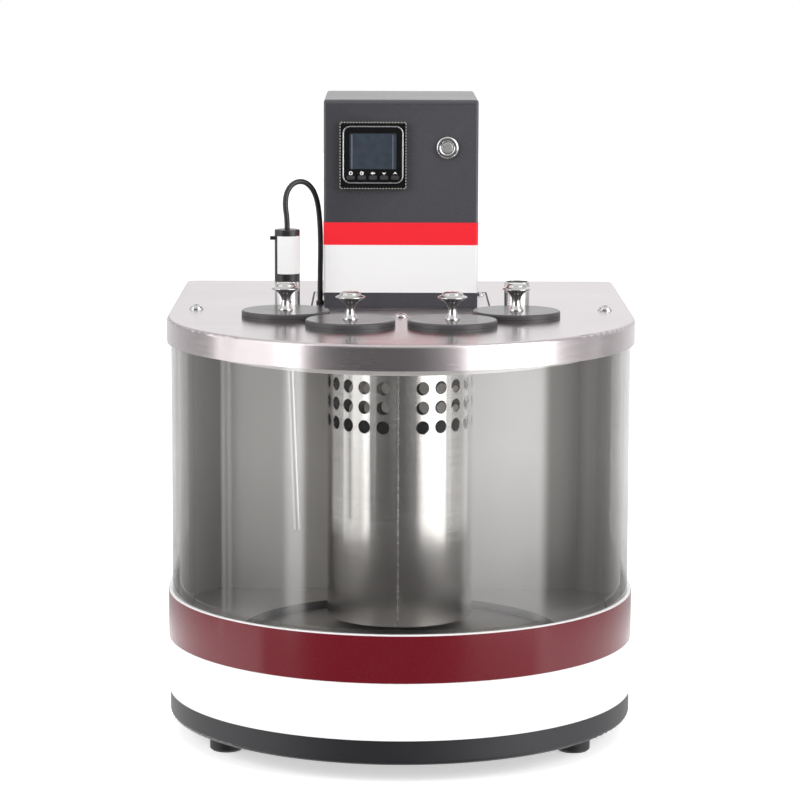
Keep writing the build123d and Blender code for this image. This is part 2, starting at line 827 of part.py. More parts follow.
def rocker_shaft(diameter, length):
    return Pos(rocker_x, rocker_axis_y, power_z) * Rot(0, 90, 0) * Cylinder(diameter / 2, length)


def switch_frame():
    rim = RectangleRounded(rocker_width + 2 * switch_rim, rocker_length + 2 * switch_rim, switch_corner)
    frame = behind(rocker_x, power_z, rim, switch_rim_depth, switch_rim_depth)
    barrel = Rectangle(rocker_width + 2 * switch_wall, rocker_length + 2 * switch_wall)
    frame += behind(rocker_x, power_z, barrel, switch_depth)
    room = Rectangle(rocker_width + 2 * rocker_side_clearance, rocker_length + 2 * rocker_end_clearance)
    frame -= behind(rocker_x, power_z, room, switch_well + switch_rim_depth + 1, switch_rim_depth + 1)
    return frame + rocker_shaft(rocker_pin, rocker_width + switch_wall)


def power_switch():
    """The rocker: a shallow V seen from the side, on a pin across its middle, tipped to off."""
    half = rocker_length / 2
    ends = [(-half, -rocker_depth), (half, -rocker_depth), (half, rocker_end), (0, rocker_middle), (-half, rocker_end)]
    plane = Plane(origin=(rocker_x - rocker_width / 2, rocker_axis_y, power_z), x_dir=(0, 0, 1), z_dir=(1, 0, 0))
    body = extrude(plane * make_face(Polyline(*ends, close=True)), rocker_width)
    body -= rocker_shaft(rocker_pin + 2 * shaft_clearance, 2 * rocker_width)
    return body.rotate(Axis((rocker_x, rocker_axis_y, power_z), (1, 0, 0)), -rocker_angle)


def key_places():
    return [(controller_x + (i - (key_count - 1) / 2) * key_pitch, key_z) for i in range(key_count)]


def controller_bezel():
    """A square frame with a raised rounded face, a window for the display and a slot for each key."""
    square = RectangleRounded(controller_size, controller_size, bezel_corner)
    frame = facing(controller_x, face_y + face_rise, controller_z, square, controller_proud - face_rise)
    face = RectangleRounded(face_width, face_height, face_corner)
    frame += facing(controller_x, face_y, controller_z + face_lift, face, face_rise)
    window = RectangleRounded(screen_width, screen_height, screen_corner)
    frame -= facing(controller_x, face_y - 1, screen_z, window, 1 + screen_recess + screen_thickness)
    slot = RectangleRounded(key_width + 2 * key_clearance, key_height + 2 * key_clearance, key_corner + key_clearance)
    for x, z in key_places():
        frame -= facing(x, face_y - 1, z, slot, 1 + key_pocket)
    return frame


def controller_screen():
    width, height = screen_width - 2 * screen_clearance, screen_height - 2 * screen_clearance
    window = RectangleRounded(width, height, screen_corner - screen_clearance)
    return facing(controller_x, face_y + screen_recess, screen_z, window, screen_thickness)


def controller_case():
    back = facing(controller_x, tower_front_y, controller_z, Rectangle(case_size, case_size), case_depth)
    lugs = Rectangle(case_size + 2 * clip_lug, clip_lug_height)
    return back + facing(controller_x, tower_front_y + tower_wall, controller_z, lugs, clip_lug_depth)


def key(x, z):
    return facing(x, face_y - key_proud, z, RectangleRounded(key_width, key_height, key_corner), key_depth)


def button_ring():
    """The button's fixed part: a bevelled ring, a barrel through the panel and a nut behind it."""
    front = tower_front_y - button_ring_height
    plate = facing(button_x, front, button_z, Circle(button_ring_diameter / 2), button_ring_height)
    plate = chamfer(plate.edges().sort_by(Axis.Y)[0], button_ring_bevel)
    plate += facing(button_x, tower_front_y, button_z, Circle(button_barrel / 2), button_barrel_length)
    nut = RegularPolygon(button_nut, 6)
    plate += facing(button_x, tower_front_y + tower_wall, button_z, nut, button_nut_height)
    well = Circle(button_cap / 2 + button_clearance)
    return plate - facing(button_x, front - 1, button_z, well, 1 + button_ring_height + button_well)


def fan_button():
    front = tower_front_y - button_ring_height - button_proud
    cap = facing(button_x, front, button_z, Circle(button_cap / 2), button_cap_length)
    return fillet(cap.edges().sort_by(Axis.Y)[0], button_edge)


def port(x):
    return tube(port_diameter, port_diameter - 2 * port_wall, lid_top - port_drop, head_bottom, x, port_y)


def rod_axis():
    """Where the probe's rod starts, and the way that it leans in its port."""
    return Pos(probe_x, port_y, head_bottom) * Rot(0, -rod_lean, 0)


def probe_head():
    """The moulded handle of the probe: it stands on its port, with a small clip at its side."""
    body = cylinder(head_diameter, head_bottom, head_top, probe_x, port_y)
    body = fillet([body.edges().sort_by(Axis.Z)[-1]], head_edge)
    plug = port_diameter - 2 * port_wall - 2 * head_plug_clearance
    body += cylinder(plug, head_bottom - head_plug_length, head_bottom, probe_x, port_y)
    edge, tab_top = probe_x - head_diameter / 2, head_top - head_tab_drop
    half = head_tab_width / 2
    body += block(edge - head_tab, edge + 2, port_y - half, port_y + half, tab_top - head_tab_height, tab_top)
    seat = Pos(0, 0, rod_seat - rod_reach) * Cylinder(rod_diameter / 2, 2 * rod_reach)
    return body - rod_axis() * seat


def probe_rod():
    length = rod_seat + port_height + rod_reach
    rod = fillet(Cylinder(rod_diameter / 2, length).edges().sort_by(Axis.Z)[0], rod_tip)
    return rod_axis() * Pos(0, 0, rod_seat - length / 2) * rod


def cable_grommet():
    body = cylinder(grommet_diameter, lid_top, lid_top + grommet_height, grommet_x, grommet_y)
    return chamfer(body.edges().sort_by(Axis.Z)[-1], grommet_edge)


def cable_radii():
    radii = []
    for before, corner, after in zip(cable_route, cable_route[1:], cable_route[2:]):
        first, second = Vector(*corner) - Vector(*before), Vector(*after) - Vector(*corner)
        shorter = min(first.length, second.length)
        half_turn = math.radians(first.get_angle(second)) / 2
        radii.append(longest_bend_share * shorter / math.tan(half_turn))
    return radii


def sensor_cable():
    radii = cable_radii()
    print("cable radii", [round(r, 1) for r in radii])
    path = FilletPolyline(*cable_route, radius=radii)
    section = Plane(origin=path @ 0, z_dir=path % 0) * Circle(cable_diameter / 2)
    body = sweep(section, path=path)
    expected = math.pi * cable_diameter**2 / 4 * path.length
    print("cable length", round(path.length, 1), "volume over expected", round(body.volume / expected, 4))
    return body


def parts():
    made = {
        "base_plinth": base_plinth(),
        "base_shell": base_shell(),
        "colour_band": colour_band(),
        "tank_floor": tank_floor(),
        "floor_posts": floor_posts(),
        "glass_wall": glass_wall(),
        "glass_gaskets": glass_gaskets(),
        "seal_strips": seal_strips(),
        "rear_casing": rear_casing(),
        "back_panel": back_panel(),
        "lid": lid(),
        "mounting_plate": mounting_plate(),
        "cover_screws": cover_screws(),
        "lid_screws": lid_screws(),
        "guide_cylinder": guide_cylinder(),
        "shaft_bearing": bearing(),
        "stirrer_shaft": stirrer_shaft(),
        "shaft_coupling": shaft_coupling(),
        "impeller": impeller(),
        "motor_bracket": motor_bracket(),
        "stirrer_motor": stirrer_motor(),
        "heater_ring": heater_ring(),
        "control_housing": control_housing(),
        "white_panel": tower_band(white_panel_bottom, white_panel_height),
        "red_panel": tower_band(red_panel_bottom, red_panel_height),
        "tower_rear_panel": tower_rear_panel(),
        "rear_panel_screws": rear_panel_screws(),
        "fan_frame": fan_frame(),
        "fan_rotor": fan_rotor(),
        "power_inlet": power_inlet(),
        "switch_frame": switch_frame(),
        "power_switch": power_switch(),
        "controller_bezel": controller_bezel(),
        "controller_screen": controller_screen(),
        "controller_case": controller_case(),
        "button_ring": button_ring(),
        "fan_button": fan_button(),
        "probe_port": port(probe_x),
        "thermometer_port": port(thermometer_x),
        "probe_head": probe_head(),
        "probe_rod": probe_rod(),
        "sensor_cable": sensor_cable(),
        "cable_grommet": cable_grommet(),
    }
    for name, (x, y) in foot_places().items():
        made[f"foot_{name}"] = foot(x, y)
    for name, (x, y) in cover_places().items():
        made[f"cover_{name}"] = Pos(x, y, lid_top) * cover()
        made[f"knob_{name}"] = Pos(x, y, lid_top + cover_thickness) * knob()
    for i, (x, z) in enumerate(key_places()):
        made[f"key_{i + 1}"] = key(x, z)
    return made


os.makedirs("parts", exist_ok=True)
for name, shape in parts().items():
    export_step(shape, f"parts/{name}.step")
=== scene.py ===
import math

import bmesh
import bpy
from bpy.props import FloatProperty, FloatVectorProperty, PointerProperty
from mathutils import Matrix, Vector


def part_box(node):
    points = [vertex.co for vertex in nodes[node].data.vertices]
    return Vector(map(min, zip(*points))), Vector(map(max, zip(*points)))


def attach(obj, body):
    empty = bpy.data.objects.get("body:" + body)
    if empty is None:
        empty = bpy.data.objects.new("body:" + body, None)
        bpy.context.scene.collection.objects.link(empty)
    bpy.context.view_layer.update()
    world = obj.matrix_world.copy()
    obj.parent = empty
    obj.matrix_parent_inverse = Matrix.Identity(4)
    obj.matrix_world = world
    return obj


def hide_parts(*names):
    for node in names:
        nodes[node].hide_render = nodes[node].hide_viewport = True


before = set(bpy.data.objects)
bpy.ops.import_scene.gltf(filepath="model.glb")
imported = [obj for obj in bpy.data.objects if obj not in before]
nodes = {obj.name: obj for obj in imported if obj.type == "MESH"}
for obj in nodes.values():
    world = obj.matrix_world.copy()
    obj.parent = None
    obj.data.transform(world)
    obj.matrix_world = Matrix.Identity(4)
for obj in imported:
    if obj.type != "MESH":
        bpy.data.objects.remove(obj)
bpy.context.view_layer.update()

bl_info = {
    "name": "Viscosity bath",
    "version": (1, 0, 0),
    "blender": (4, 5, 0),
    "location": "3D View > Sidebar > Bath",
    "description": "Finishes and fine parts of a viscosity bath, on its packed model",
    "category": "Object",
}

# Places of the solids, in metres.
lid_top = 0.3025
lid_bottom = 0.285
arc_y = -0.0285
stirrer_y = 0.057
seam_x = -0.0015
screw_places = [(-0.149, 0.005), (0.149, 0.005), (0.0, -0.040)]
controller_x = -0.0205
controller_z = lid_top + 0.1111
controller_face_y = 0.0187
tower_face_y = 0.0236
probe_x, probe_y = -0.083, 0.014
thermometer_x = 0.085
cover_places = {
    "left": (-0.08246, -0.03943),
    "front_left": (-0.03566, -0.09326),
    "front_right": (0.03566, -0.09326),
    "right": (0.08246, -0.03943),
}


def colour(name, description, default):
    return FloatVectorProperty(
        name=name, description=description, subtype="COLOR", size=3, min=0, max=1, default=default)


def size(name, description, default, low, high):
    return FloatProperty(
        name=name, description=description, unit="LENGTH", default=default, min=low, max=high, precision=5)


class BathColours(bpy.types.PropertyGroup):
    """Base colours of the finishes."""
    steel: colour("Steel", "Brushed stainless sheet of the lid and tank", (0.70, 0.635, 0.648))
    satin: colour("Satin steel", "Rolled sheet inside the tank", (0.56, 0.545, 0.53))
    chrome: colour("Polished steel", "Knobs and button", (0.82, 0.81, 0.80))
    charcoal: colour("Charcoal", "Powder coat of the base tray", (0.014, 0.0135, 0.016))
    tower: colour("Tower grey", "Powder coat of the control tower", (0.044, 0.043, 0.049))
    white: colour("White", "Powder coat of the base and tower foot", (0.90, 0.895, 0.90))
    maroon: colour("Maroon", "Film around the base", (0.118, 0.0032, 0.0095))
    red: colour("Red", "Band across the tower", (0.92, 0.017, 0.028))
    cover: colour("Cover", "Laminate of the four covers", (0.046, 0.044, 0.046))
    rubber: colour("Rubber", "Feet, seals and cable", (0.018, 0.018, 0.020))
    plastic: colour("Moulding", "Controller, probe head, fan and switch", (0.016, 0.016, 0.018))
    display: colour("Display", "Switched-off liquid crystal", (0.040, 0.052, 0.070))
    bronze: colour("Bronze", "Bush of the stirrer shaft", (0.45, 0.27, 0.11))
    label: colour("Label", "Blank wrap on the probe head", (0.86, 0.86, 0.85))


class BathSizes(bpy.types.PropertyGroup):
    """Sizes of the pieces that only this scene makes."""
    cable_diameter: size("Cable diameter", "Outside of the temperature cable", 0.0039, 0.002, 0.008)
    label_bottom: size("Label bottom", "Height of the label above the lid", 0.0255, 0.02, 0.05)
    label_height: size("Label height", "Width of the wrap along the head", 0.0276, 0.005, 0.03)
    weld_pitch: size("Weld pitch", "Distance between spots of the cylinder seam", 0.0052, 0.002, 0.02)
    weld_spot: size("Weld spot", "Diameter of one spot", 0.0017, 0.0005, 0.004)
    gasket_pitch: size("Gasket pitch", "Distance between ribs of the controller gasket", 0.0021, 0.001, 0.005)
    icon_height: size("Key symbol", "Height of the symbols over the keys", 0.0023, 0.001, 0.004)


class Value:
    """A node's output that takes part in sums. Each operator adds its Math node."""

    def __init__(self, finish, socket):
        self.finish = finish
        self.socket = socket

    def maths(self, operation, *values):
        return self.finish.node("ShaderNodeMath", {"operation": operation}, dict(enumerate(values)))

    def __add__(self, other):
        return self.maths("ADD", self, other)

    __radd__ = __add__

    def __mul__(self, other):
        return self.maths("MULTIPLY", self, other)

    __rmul__ = __mul__

    def __sub__(self, other):
        return self.maths("SUBTRACT", self, other)

    def __rsub__(self, other):
        return self.maths("SUBTRACT", other, self)

    def __pow__(self, other):
        return self.maths("POWER", self, other)

    def __lt__(self, other):
        return self.maths("LESS_THAN", self, other)

    def __gt__(self, other):
        return self.maths("GREATER_THAN", self, other)


class Finish:
    """The nodes of a new material, or of a new world where that library is given."""

    def __init__(self, name, library=None):
        library = bpy.data.materials if library is None else library
        self.owner = library.new(name)
        self.owner.use_nodes = True
        self.tree = self.owner.node_tree
        self.tree.nodes.clear()

    def node(self, kind, settings=None, values=None, output=0):
        """Adds a node: its settings first, then its sockets, each from a number or another node's output."""
        made = self.tree.nodes.new(kind)
        for name, setting in (settings or {}).items():
            if name == "stops":
                ramp = made.color_ramp
                while len(ramp.elements) < len(setting):
                    ramp.elements.new(0.5)
                for element, (place, shade) in zip(ramp.elements, setting):
                    element.position = place
                    element.color = (shade, shade, shade, 1)
            else:
                setattr(made, name, setting)
        for name, value in (values or {}).items():
            if isinstance(value, Value):
                self.tree.links.new(value.socket, made.inputs[name])
            else:
                made.inputs[name].default_value = value
        return Value(self, made.outputs[output]) if made.outputs else None

    def outputs(self, kind, names, values=None):
        """Adds a node and gives several of its outputs."""
        made = self.node(kind, values=values).socket.node
        return [Value(self, made.outputs[name]) for name in names]

    def place(self):
        return self.node("ShaderNodeTexCoord", output="Object")

    def split(self, vector):
        return self.outputs("ShaderNodeSeparateXYZ", ("X", "Y", "Z"), {0: vector})

    def join(self, x, y, z):
        return self.node("ShaderNodeCombineXYZ", values={0: x, 1: y, 2: z})

    def heading(self, x, y):
        """The angle round an upright axis, from the front towards +x."""
        return self.node("ShaderNodeMath", {"operation": "ARCTAN2"}, {0: x, 1: -1 * y})

    def reach(self, place, x, y):
        """The distance from an upright axis at x, y."""
        px, py, pz = self.split(place)
        return ((px - x) * (px - x) + (py - y) * (py - y)) ** 0.5

    def scaled(self, vector, scale):
        return self.node("ShaderNodeVectorMath", {"operation": "MULTIPLY"}, {0: vector, 1: scale})

    def noise(self, vector, scale, detail=2.0, roughness=0.5):
        return self.node("ShaderNodeTexNoise", None,
                         {"Vector": vector, "Scale": scale, "Detail": detail, "Roughness": roughness})

    def ramp(self, factor, *stops):
        return self.node("ShaderNodeValToRGB", {"stops": stops}, {0: factor})

    def span(self, value, low, high, start=0.0, end=1.0):
        return self.node("ShaderNodeMapRange", {"clamp": True},
                         {"Value": value, "From Min": low, "From Max": high, "To Min": start, "To Max": end})

    def mix(self, factor, first, second):
        pair = [shade if isinstance(shade, Value) else (*shade[:3], 1) for shade in (first, second)]
        return self.node("ShaderNodeMix", {"data_type": "RGBA"}, {0: factor, 6: pair[0], 7: pair[1]}, 2)

    def bump(self, height, strength, distance):
        return self.node("ShaderNodeBump", None, {"Height": height, "Strength": strength, "Distance": distance})

    def surface(self, shader, kind="ShaderNodeOutputMaterial"):
        """Ends the nodes in this shader."""
        self.node(kind, None, {"Surface": shader})
        return self.owner

    def principled(self, **values):
        """Ends the material in one Principled shader. Socket names are given with underscores."""
        sockets = {name.replace("_", " ").title().replace("Ior", "IOR"): value for name, value in values.items()}
        return self.surface(self.node("ShaderNodeBsdfPrincipled", None, sockets))


def tinted(base, factor):
    """A colour, darker or lighter."""
    return tuple(min(1.0, c * factor) for c in base)


def brushed(name, base, stretch, roughness=0.3, depth=0.25, contrast=0.10, smudge=0.08, metallic=1.0, bent_y=None,
            inside=None):
    """Brushed sheet: hair lines stretched along one direction, over slow changes in the sheen.

    bent_y is the middle of a rim that the lines run round. inside is the distance from the stirrer's axis up to
    which the sheet is darkened with painted shade, for the shade that falls inside the guide cylinder.
    """
    finish = Finish(name)
    place = finish.place()
    along = finish.scaled(place, stretch)
    lines = finish.noise(along, 1.0, 3.0, 0.65)
    if bent_y is not None:
        px, py, pz = finish.split(place)
        nx, ny, nz = finish.split(finish.node("ShaderNodeNewGeometry", output="Normal"))
        upright = finish.span(nz, 0.8, 0.6)
        turn = finish.heading(px, py - bent_y)
        edge = finish.noise(finish.join(turn * 3.4, 0.0, pz * stretch[2]), 1.0, 3.0, 0.65)
        lines = edge * upright + lines * (1 - upright)
    broad = finish.noise(finish.scaled(along, (0.3, 0.16, 0.16)), 1.0, 1.0)
    cloud = finish.noise(place, 14.0, 3.0)
    specks = finish.ramp(finish.noise(place, 420.0, 1.0), (0.70, 0), (0.78, 1))
    tone = (lines - 0.5) * contrast + (broad - 0.5) * contrast + 0.5
    shade = finish.mix(tone, tinted(base, 0.55), tinted(base, 1.45))
    shade = finish.mix(specks * 0.10, shade, tinted(base, 0.55))
    # painted shade: the inner face of the guide cylinder is darkened for the shade that falls inside it
    if inside:
        shade = finish.mix(finish.reach(place, 0.0, stirrer_y) < inside, shade, tinted(base, 0.14))
    rough = roughness + (lines - 0.5) * 0.18 + (cloud - 0.5) * smudge
    relief = finish.bump(lines, depth, 0.0001)
    return finish.principled(base_color=shade, metallic=metallic, roughness=rough, normal=relief)


def spun(name, base, x, y, roughness=0.28, contrast=0.12, frequency=1500.0):
    """Turned metal: fine rings around an upright axis."""
    finish = Finish(name)
    place = finish.place()
    px, py, pz = finish.split(place)
    rings = finish.join(finish.reach(place, x, y) * frequency, 0.0, pz * frequency)
    lines = finish.noise(rings, 1.0, 2.0)
    tone = (lines - 0.5) * contrast + 0.5
    shade = finish.mix(tone, tinted(base, 0.55), tinted(base, 1.45))
    return finish.principled(base_color=shade, metallic=1.0, roughness=roughness + (lines - 0.5) * 0.16,
                             normal=finish.bump(lines, 0.15, 0.0001))


def coat(name, base, roughness=0.42, texture=0.25, grain=900.0, mottling=0.10, edge=0.0, **extra):
    """Powder coat or paint: orange-peel bump, a slow mottling and a painted highlight on sharp edges."""
    finish = Finish(name)
    place = finish.place()
    peel = finish.noise(place, grain, 3.0, 0.6)
    fine = finish.noise(place, grain * 3.1, 1.0)
    cloud = finish.noise(place, 9.0, 4.0, 0.6)
    tone = (cloud - 0.5) * mottling + (peel - 0.5) * mottling * 0.8 + 0.5
    shade = finish.mix(tone, tinted(base, 0.6), tinted(base, 1.4))
    # painted highlight: sharp edges are lightened, as if they caught the light
    if edge:
        pointed = finish.node("ShaderNodeNewGeometry", output="Pointiness")
        painted_edge_highlight = finish.span(pointed + (peel - 0.5) * 0.05, 0.53, 0.60) * edge
        shade = finish.mix(painted_edge_highlight, shade, tinted(base, 2.2))
    rough = roughness + (fine - 0.5) * 0.16 + (cloud - 0.5) * 0.12
    return finish.principled(base_color=shade, roughness=rough, normal=finish.bump(peel + fine * 0.4, texture, 0.0002),
                             **extra)


def moulded(name, base, roughness=0.45, grain=1800.0, depth=0.3, dust=0.04, **extra):
    """Moulded plastic or rubber: spark-eroded grain, and dust that has settled on it."""
    finish = Finish(name)
    place = finish.place()
    grit = finish.node("ShaderNodeTexVoronoi", {"feature": "F1"}, {"Vector": place, "Scale": grain})
    cloud = finish.noise(place, 60.0, 3.0)
    motes = finish.ramp(finish.noise(place, 900.0, 1.0), (0.70, 0), (0.80, 1))
    shade = finish.mix((cloud - 0.5) * 0.25 + 0.5, tinted(base, 0.6), tinted(base, 1.4))
    shade = finish.mix(motes * dust, shade, (0.5, 0.5, 0.48))
    rough = roughness + (cloud - 0.5) * 0.14 + (grit - 0.5) * 0.06
    return finish.principled(base_color=shade, roughness=rough, normal=finish.bump(grit, depth, 0.00012), **extra)


def dress(material, *names):
    """Gives CAD nodes a material."""
    for name in names:
        mesh = nodes[name].data
        mesh.materials.clear()
        mesh.materials.append(material)


def new_piece(name, mesh, material, body="root", smooth=40.0):
    """Places a mesh that is drawn in the frame's own metres and makes it ride on a body."""
    for face in mesh.polygons:
        face.use_smooth = True
    mesh.set_sharp_from_angle(angle=math.radians(smooth))
    piece = bpy.data.objects.new(name, mesh)
    bpy.context.scene.collection.objects.link(piece)
    mesh.materials.append(material)
    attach(piece, body)
    return piece


def mesh_from(name, vertices, faces):
    """A mesh with its double points merged and its faces turned outwards."""
    mesh = bpy.data.meshes.new(name)
    mesh.from_pydata([tuple(v) for v in vertices], [], faces)
    shape = bmesh.new()
    shape.from_mesh(mesh)
    bmesh.ops.remove_doubles(shape, verts=shape.verts, dist=1e-7)
    bmesh.ops.recalc_face_normals(shape, faces=shape.faces)
    shape.to_mesh(mesh)
    shape.free()
    return mesh


def turned(name, outline, x, y, count=96):
    """A solid of revolution about an upright axis. The outline runs from axis to axis, or closes on itself."""
    vertices, faces = [], []
    for i in range(count):
        turn = 2 * math.pi * i / count
        vertices += [(x + r * math.cos(turn), y + r * math.sin(turn), z) for r, z in outline]
    step = len(outline)
    closed = outline[0][0] > 0 or outline[-1][0] > 0
    for i in range(count):
        near, far = i * step, (i + 1) % count * step
        for k in range(step if closed else step - 1):
            j = (k + 1) % step
            corners = [near + k, far + k, far + j, near + j]
            if outline[k][0] == 0:
                corners = [near + k, far + j, near + j]
            elif outline[j][0] == 0:
                corners = [near + k, far + k, near + j]
            faces.append(corners)
    return mesh_from(name, vertices, faces)


def bent_strip(name, x, y, start, end, count, section):
    """A strip bent round an upright axis. section gives its four corners, in radius and height, at each angle."""
    vertices, faces = [], []
    for i in range(count + 1):
        turn = math.radians(start + (end - start) * i / count)
        vertices += [(x + r * math.cos(turn), y + r * math.sin(turn), z) for r, z in section(turn)]
    for i in range(count):
        near, far = i * 4, i * 4 + 4
        faces += [[near + k, far + k, far + (k + 1) % 4, near + (k + 1) % 4] for k in range(4)]
    faces += [[0, 1, 2, 3], [count * 4 + k for k in (3, 2, 1, 0)]]
    return mesh_from(name, vertices, faces)


def flowing(points, steps=6):
    """Points along a smooth line through the given points."""
    line = []
    for i in range(len(points) - 1):
        before = points[max(i - 1, 0)]
        start, end = points[i], points[i + 1]
        after = points[min(i + 2, len(points) - 1)]
        for k in range(steps):
            t = k / steps
            line.append(tuple(
                0.5 * (2 * b + (c - a) * t + (2 * a - 5 * b + 4 * c - d) * t * t + (3 * b - a - 3 * c + d) * t**3)
                for a, b, c, d in zip(before, start, end, after)))
    line.append(points[-1])
    return line


def join_meshes(name, meshes):
    """Several meshes as one."""
    shape = bmesh.new()
    for mesh in meshes:
        shape.from_mesh(mesh)
        bpy.data.meshes.remove(mesh)
    joined = bpy.data.meshes.new(name)
    shape.to_mesh(joined)
    shape.free()
    return joined


def raised(name, outline, y, height, bevel=0.0):
    """A flat shape on a panel that faces the front: an outline in x and z, standing out from the plane at y."""
    shape = bmesh.new()
    base = shape.faces.new([shape.verts.new((x, y, z)) for x, z in outline])
    grown = bmesh.ops.extrude_face_region(shape, geom=[base])
    moved = [v for v in grown["geom"] if isinstance(v, bmesh.types.BMVert)]
    bmesh.ops.translate(shape, verts=moved, vec=(0, -height, 0))
    if bevel:
        rim = [e for e in shape.edges if all(v in moved for v in e.verts)]
        bmesh.ops.bevel(shape, geom=rim, offset=bevel, segments=3, profile=0.6, affect="EDGES")
    bmesh.ops.recalc_face_normals(shape, faces=shape.faces)
    mesh = bpy.data.meshes.new(name)
    shape.to_mesh(mesh)
    shape.free()
    return mesh


def rounded_outline(width, height, radius, x, z, steps=8):
    """A rectangle with round corners, in x and z."""
    points = []
    for corner, (sx, sz) in enumerate([(1, 1), (-1, 1), (-1, -1), (1, -1)]):
        for k in range(steps + 1):
            turn = math.pi / 2 * (corner + k / steps)
            points.append((x + sx * (width / 2 - radius) + radius * math.cos(turn),
                           z + sz * (height / 2 - radius) + radius * math.sin(turn)))
    return points


def rounded_rim(name, width, height, radius, x, z, y, thickness, rise):
    """A narrow frame with a half-round section that follows a rounded rectangle."""
    path = rounded_outline(width, height, radius, x, z)
    vertices, faces, around = [], [], 10
    centre = Vector((x, 0, z))
    for i, (px, pz) in enumerate(path):
        before, after = path[i - 1], path[(i + 1) % len(path)]
        along = Vector((after[0] - before[0], 0, after[1] - before[1])).normalized()
        out = Vector((along.z, 0, -along.x))
        if out.dot(Vector((px, 0, pz)) - centre) < 0:
            out = -out
        for k in range(around):
            turn = 2 * math.pi * k / around
            spot = Vector((px, y, pz)) + out * (thickness / 2 * math.cos(turn)) + Vector((0, -rise * math.sin(turn), 0))
            vertices.append(spot)
    for i in range(len(path)):
        near, far = i * around, (i + 1) % len(path) * around
        for k in range(around):
            j = (k + 1) % around
            faces.append([near + k, far + k, far + j, near + j])
    return mesh_from(name, vertices, faces)


class BATH_OT_stage(bpy.types.Operator):
    """Set the camera, the pale floor, the studio lamps and the plain white surroundings"""
    bl_idname = "bath.stage"
    bl_label = "Stage"

    lens_length = 140.2
    camera_place = (-0.0108, -2.2531, 0.57305)
    camera_turn = (math.pi / 2 - 0.1483, -0.0033, -0.00416)
    floor_side, floor_front, floor_rear = 1.2, -0.95, 6.0
    softboxes = [
        ("left_softbox", (-1.6, -1.2, 1.0), (1.0, 1.5), 27.0),
        ("right_softbox", (1.6, -1.2, 1.0), (1.0, 1.5), 27.0),
        ("top_softbox", (0.0, 0.2, 2.1), (2.0, 1.6), 22.0),
    ]
    # What polished metal mirrors, by heading in degrees: first the room, then the table below it.
    room_light = 3.8
    room_levels = [
        (-180, 0.26), (-150, 0.19), (-125, 0.13), (-101, 0.10), (-99, 0.9), (-96, 0.16), (-89, 0.37), (-61, 0.40),
        (-58, 0.95), (-51, 0.95), (-48, 0.14), (-40, 0.06), (-28, 0.045), (10, 0.045), (20, 0.10), (30, 0.16),
        (33, 0.85), (55, 1.0), (75, 1.0), (79, 0.20), (100, 0.12), (112, 0.2), (115, 0.10), (145, 0.21), (162, 0.26),
    ]
    table_light = 1.6
    table_levels = [
        (-180, 1.0), (-74, 1.0), (-69, 0.16), (-40, 0.05), (-20, 0.03), (20, 0.03), (45, 0.05), (68, 0.14), (75, 1.0),
    ]
    ceiling_light = 0.87
    plain_light = 0.66

    def execute(self, context):
        lens = bpy.data.cameras.new("camera")
        lens.lens = self.lens_length
        lens.sensor_width = 36.0
        lens.clip_end = 100.0
        camera = bpy.data.objects.new("camera", lens)
        camera.rotation_euler = self.camera_turn
        camera.location = self.camera_place
        context.scene.collection.objects.link(camera)
        context.scene.camera = camera
        context.scene.view_settings.view_transform = "Standard"
        self.floor(context)
        self.lamps(context)
        self.surroundings(context)
        return {"FINISHED"}

    def floor(self, context):
        finish = Finish("pale_floor")
        place = finish.place()
        cloud = finish.noise(place, 3.0, 3.0)
        shade = finish.mix(cloud, (0.88, 0.88, 0.88), (0.93, 0.93, 0.93))
        matt = finish.node("ShaderNodeBsdfPrincipled", None,
                           {"Base Color": shade, "Roughness": 0.85 + (cloud - 0.5) * 0.1})
        direct, mirrored, through = finish.outputs(
            "ShaderNodeLightPath", ("Is Camera Ray", "Is Glossy Ray", "Is Transmission Ray"))
        seen = direct + mirrored + through
        glow = finish.node("ShaderNodeEmission", None, {"Color": (1, 1, 1, 1), "Strength": seen * 0.5})
        both = finish.node("ShaderNodeAddShader", None, {0: matt, 1: glow})
        side, front, rear = self.floor_side, self.floor_front, self.floor_rear
        corners = [(-side, front, 0), (side, front, 0), (side, rear, 0), (-side, rear, 0)]
        mesh = mesh_from("floor", corners, [[0, 1, 2, 3]])
        floor = bpy.data.objects.new("floor", mesh)
        mesh.materials.append(finish.surface(both))
        context.scene.collection.objects.link(floor)
        floor.visible_glossy = False

    def lamps(self, context):
        for name, where, (wide, high), power in self.softboxes:
            lamp = bpy.data.lights.new(name, "AREA")
            lamp.shape = "RECTANGLE"
            lamp.size = wide
            lamp.size_y = high
            lamp.energy = power
            holder = bpy.data.objects.new(name, lamp)
            holder.location = where
            aim = Vector((0, 0, 0.25)) - Vector(where)
            holder.rotation_euler = aim.to_track_quat("-Z", "Y").to_euler()
            holder.visible_glossy = False
            context.scene.collection.objects.link(holder)

    def surroundings(self, context):
        """White all round, and in reflections a dim room in front with a tall soft light at each side."""
        finish = Finish("studio", bpy.data.worlds)
        px, py, pz = finish.split(finish.node("ShaderNodeTexCoord", output="Generated"))
        turn = finish.heading(px, py) * (0.5 / math.pi) + 0.5
        room = self.round_about(finish, turn, self.room_levels) * self.room_light
        table = self.round_about(finish, turn, self.table_levels) * self.table_light
        room = room * finish.span(pz, -0.165, -0.210, 1.0, 0.55)
        low = finish.span(pz, -0.212, -0.222)
        room = table * low + room * (1 - low)
        above = finish.span(pz, 0.40, 0.90)
        room = room * (1 - above) + above * self.ceiling_light
        direct, mirrored = finish.outputs("ShaderNodeLightPath", ("Is Camera Ray", "Is Glossy Ray"))
        level = direct + (1 - direct) * (mirrored * room + (1 - mirrored) * self.plain_light)
        light = finish.node("ShaderNodeBackground", None, {"Color": (1, 1, 1, 1), "Strength": level})
        context.scene.world = finish.surface(light, "ShaderNodeOutputWorld")

    def round_about(self, finish, turn, levels):
        return finish.ramp(turn, *[(degrees / 360 + 0.5, level) for degrees, level in levels])


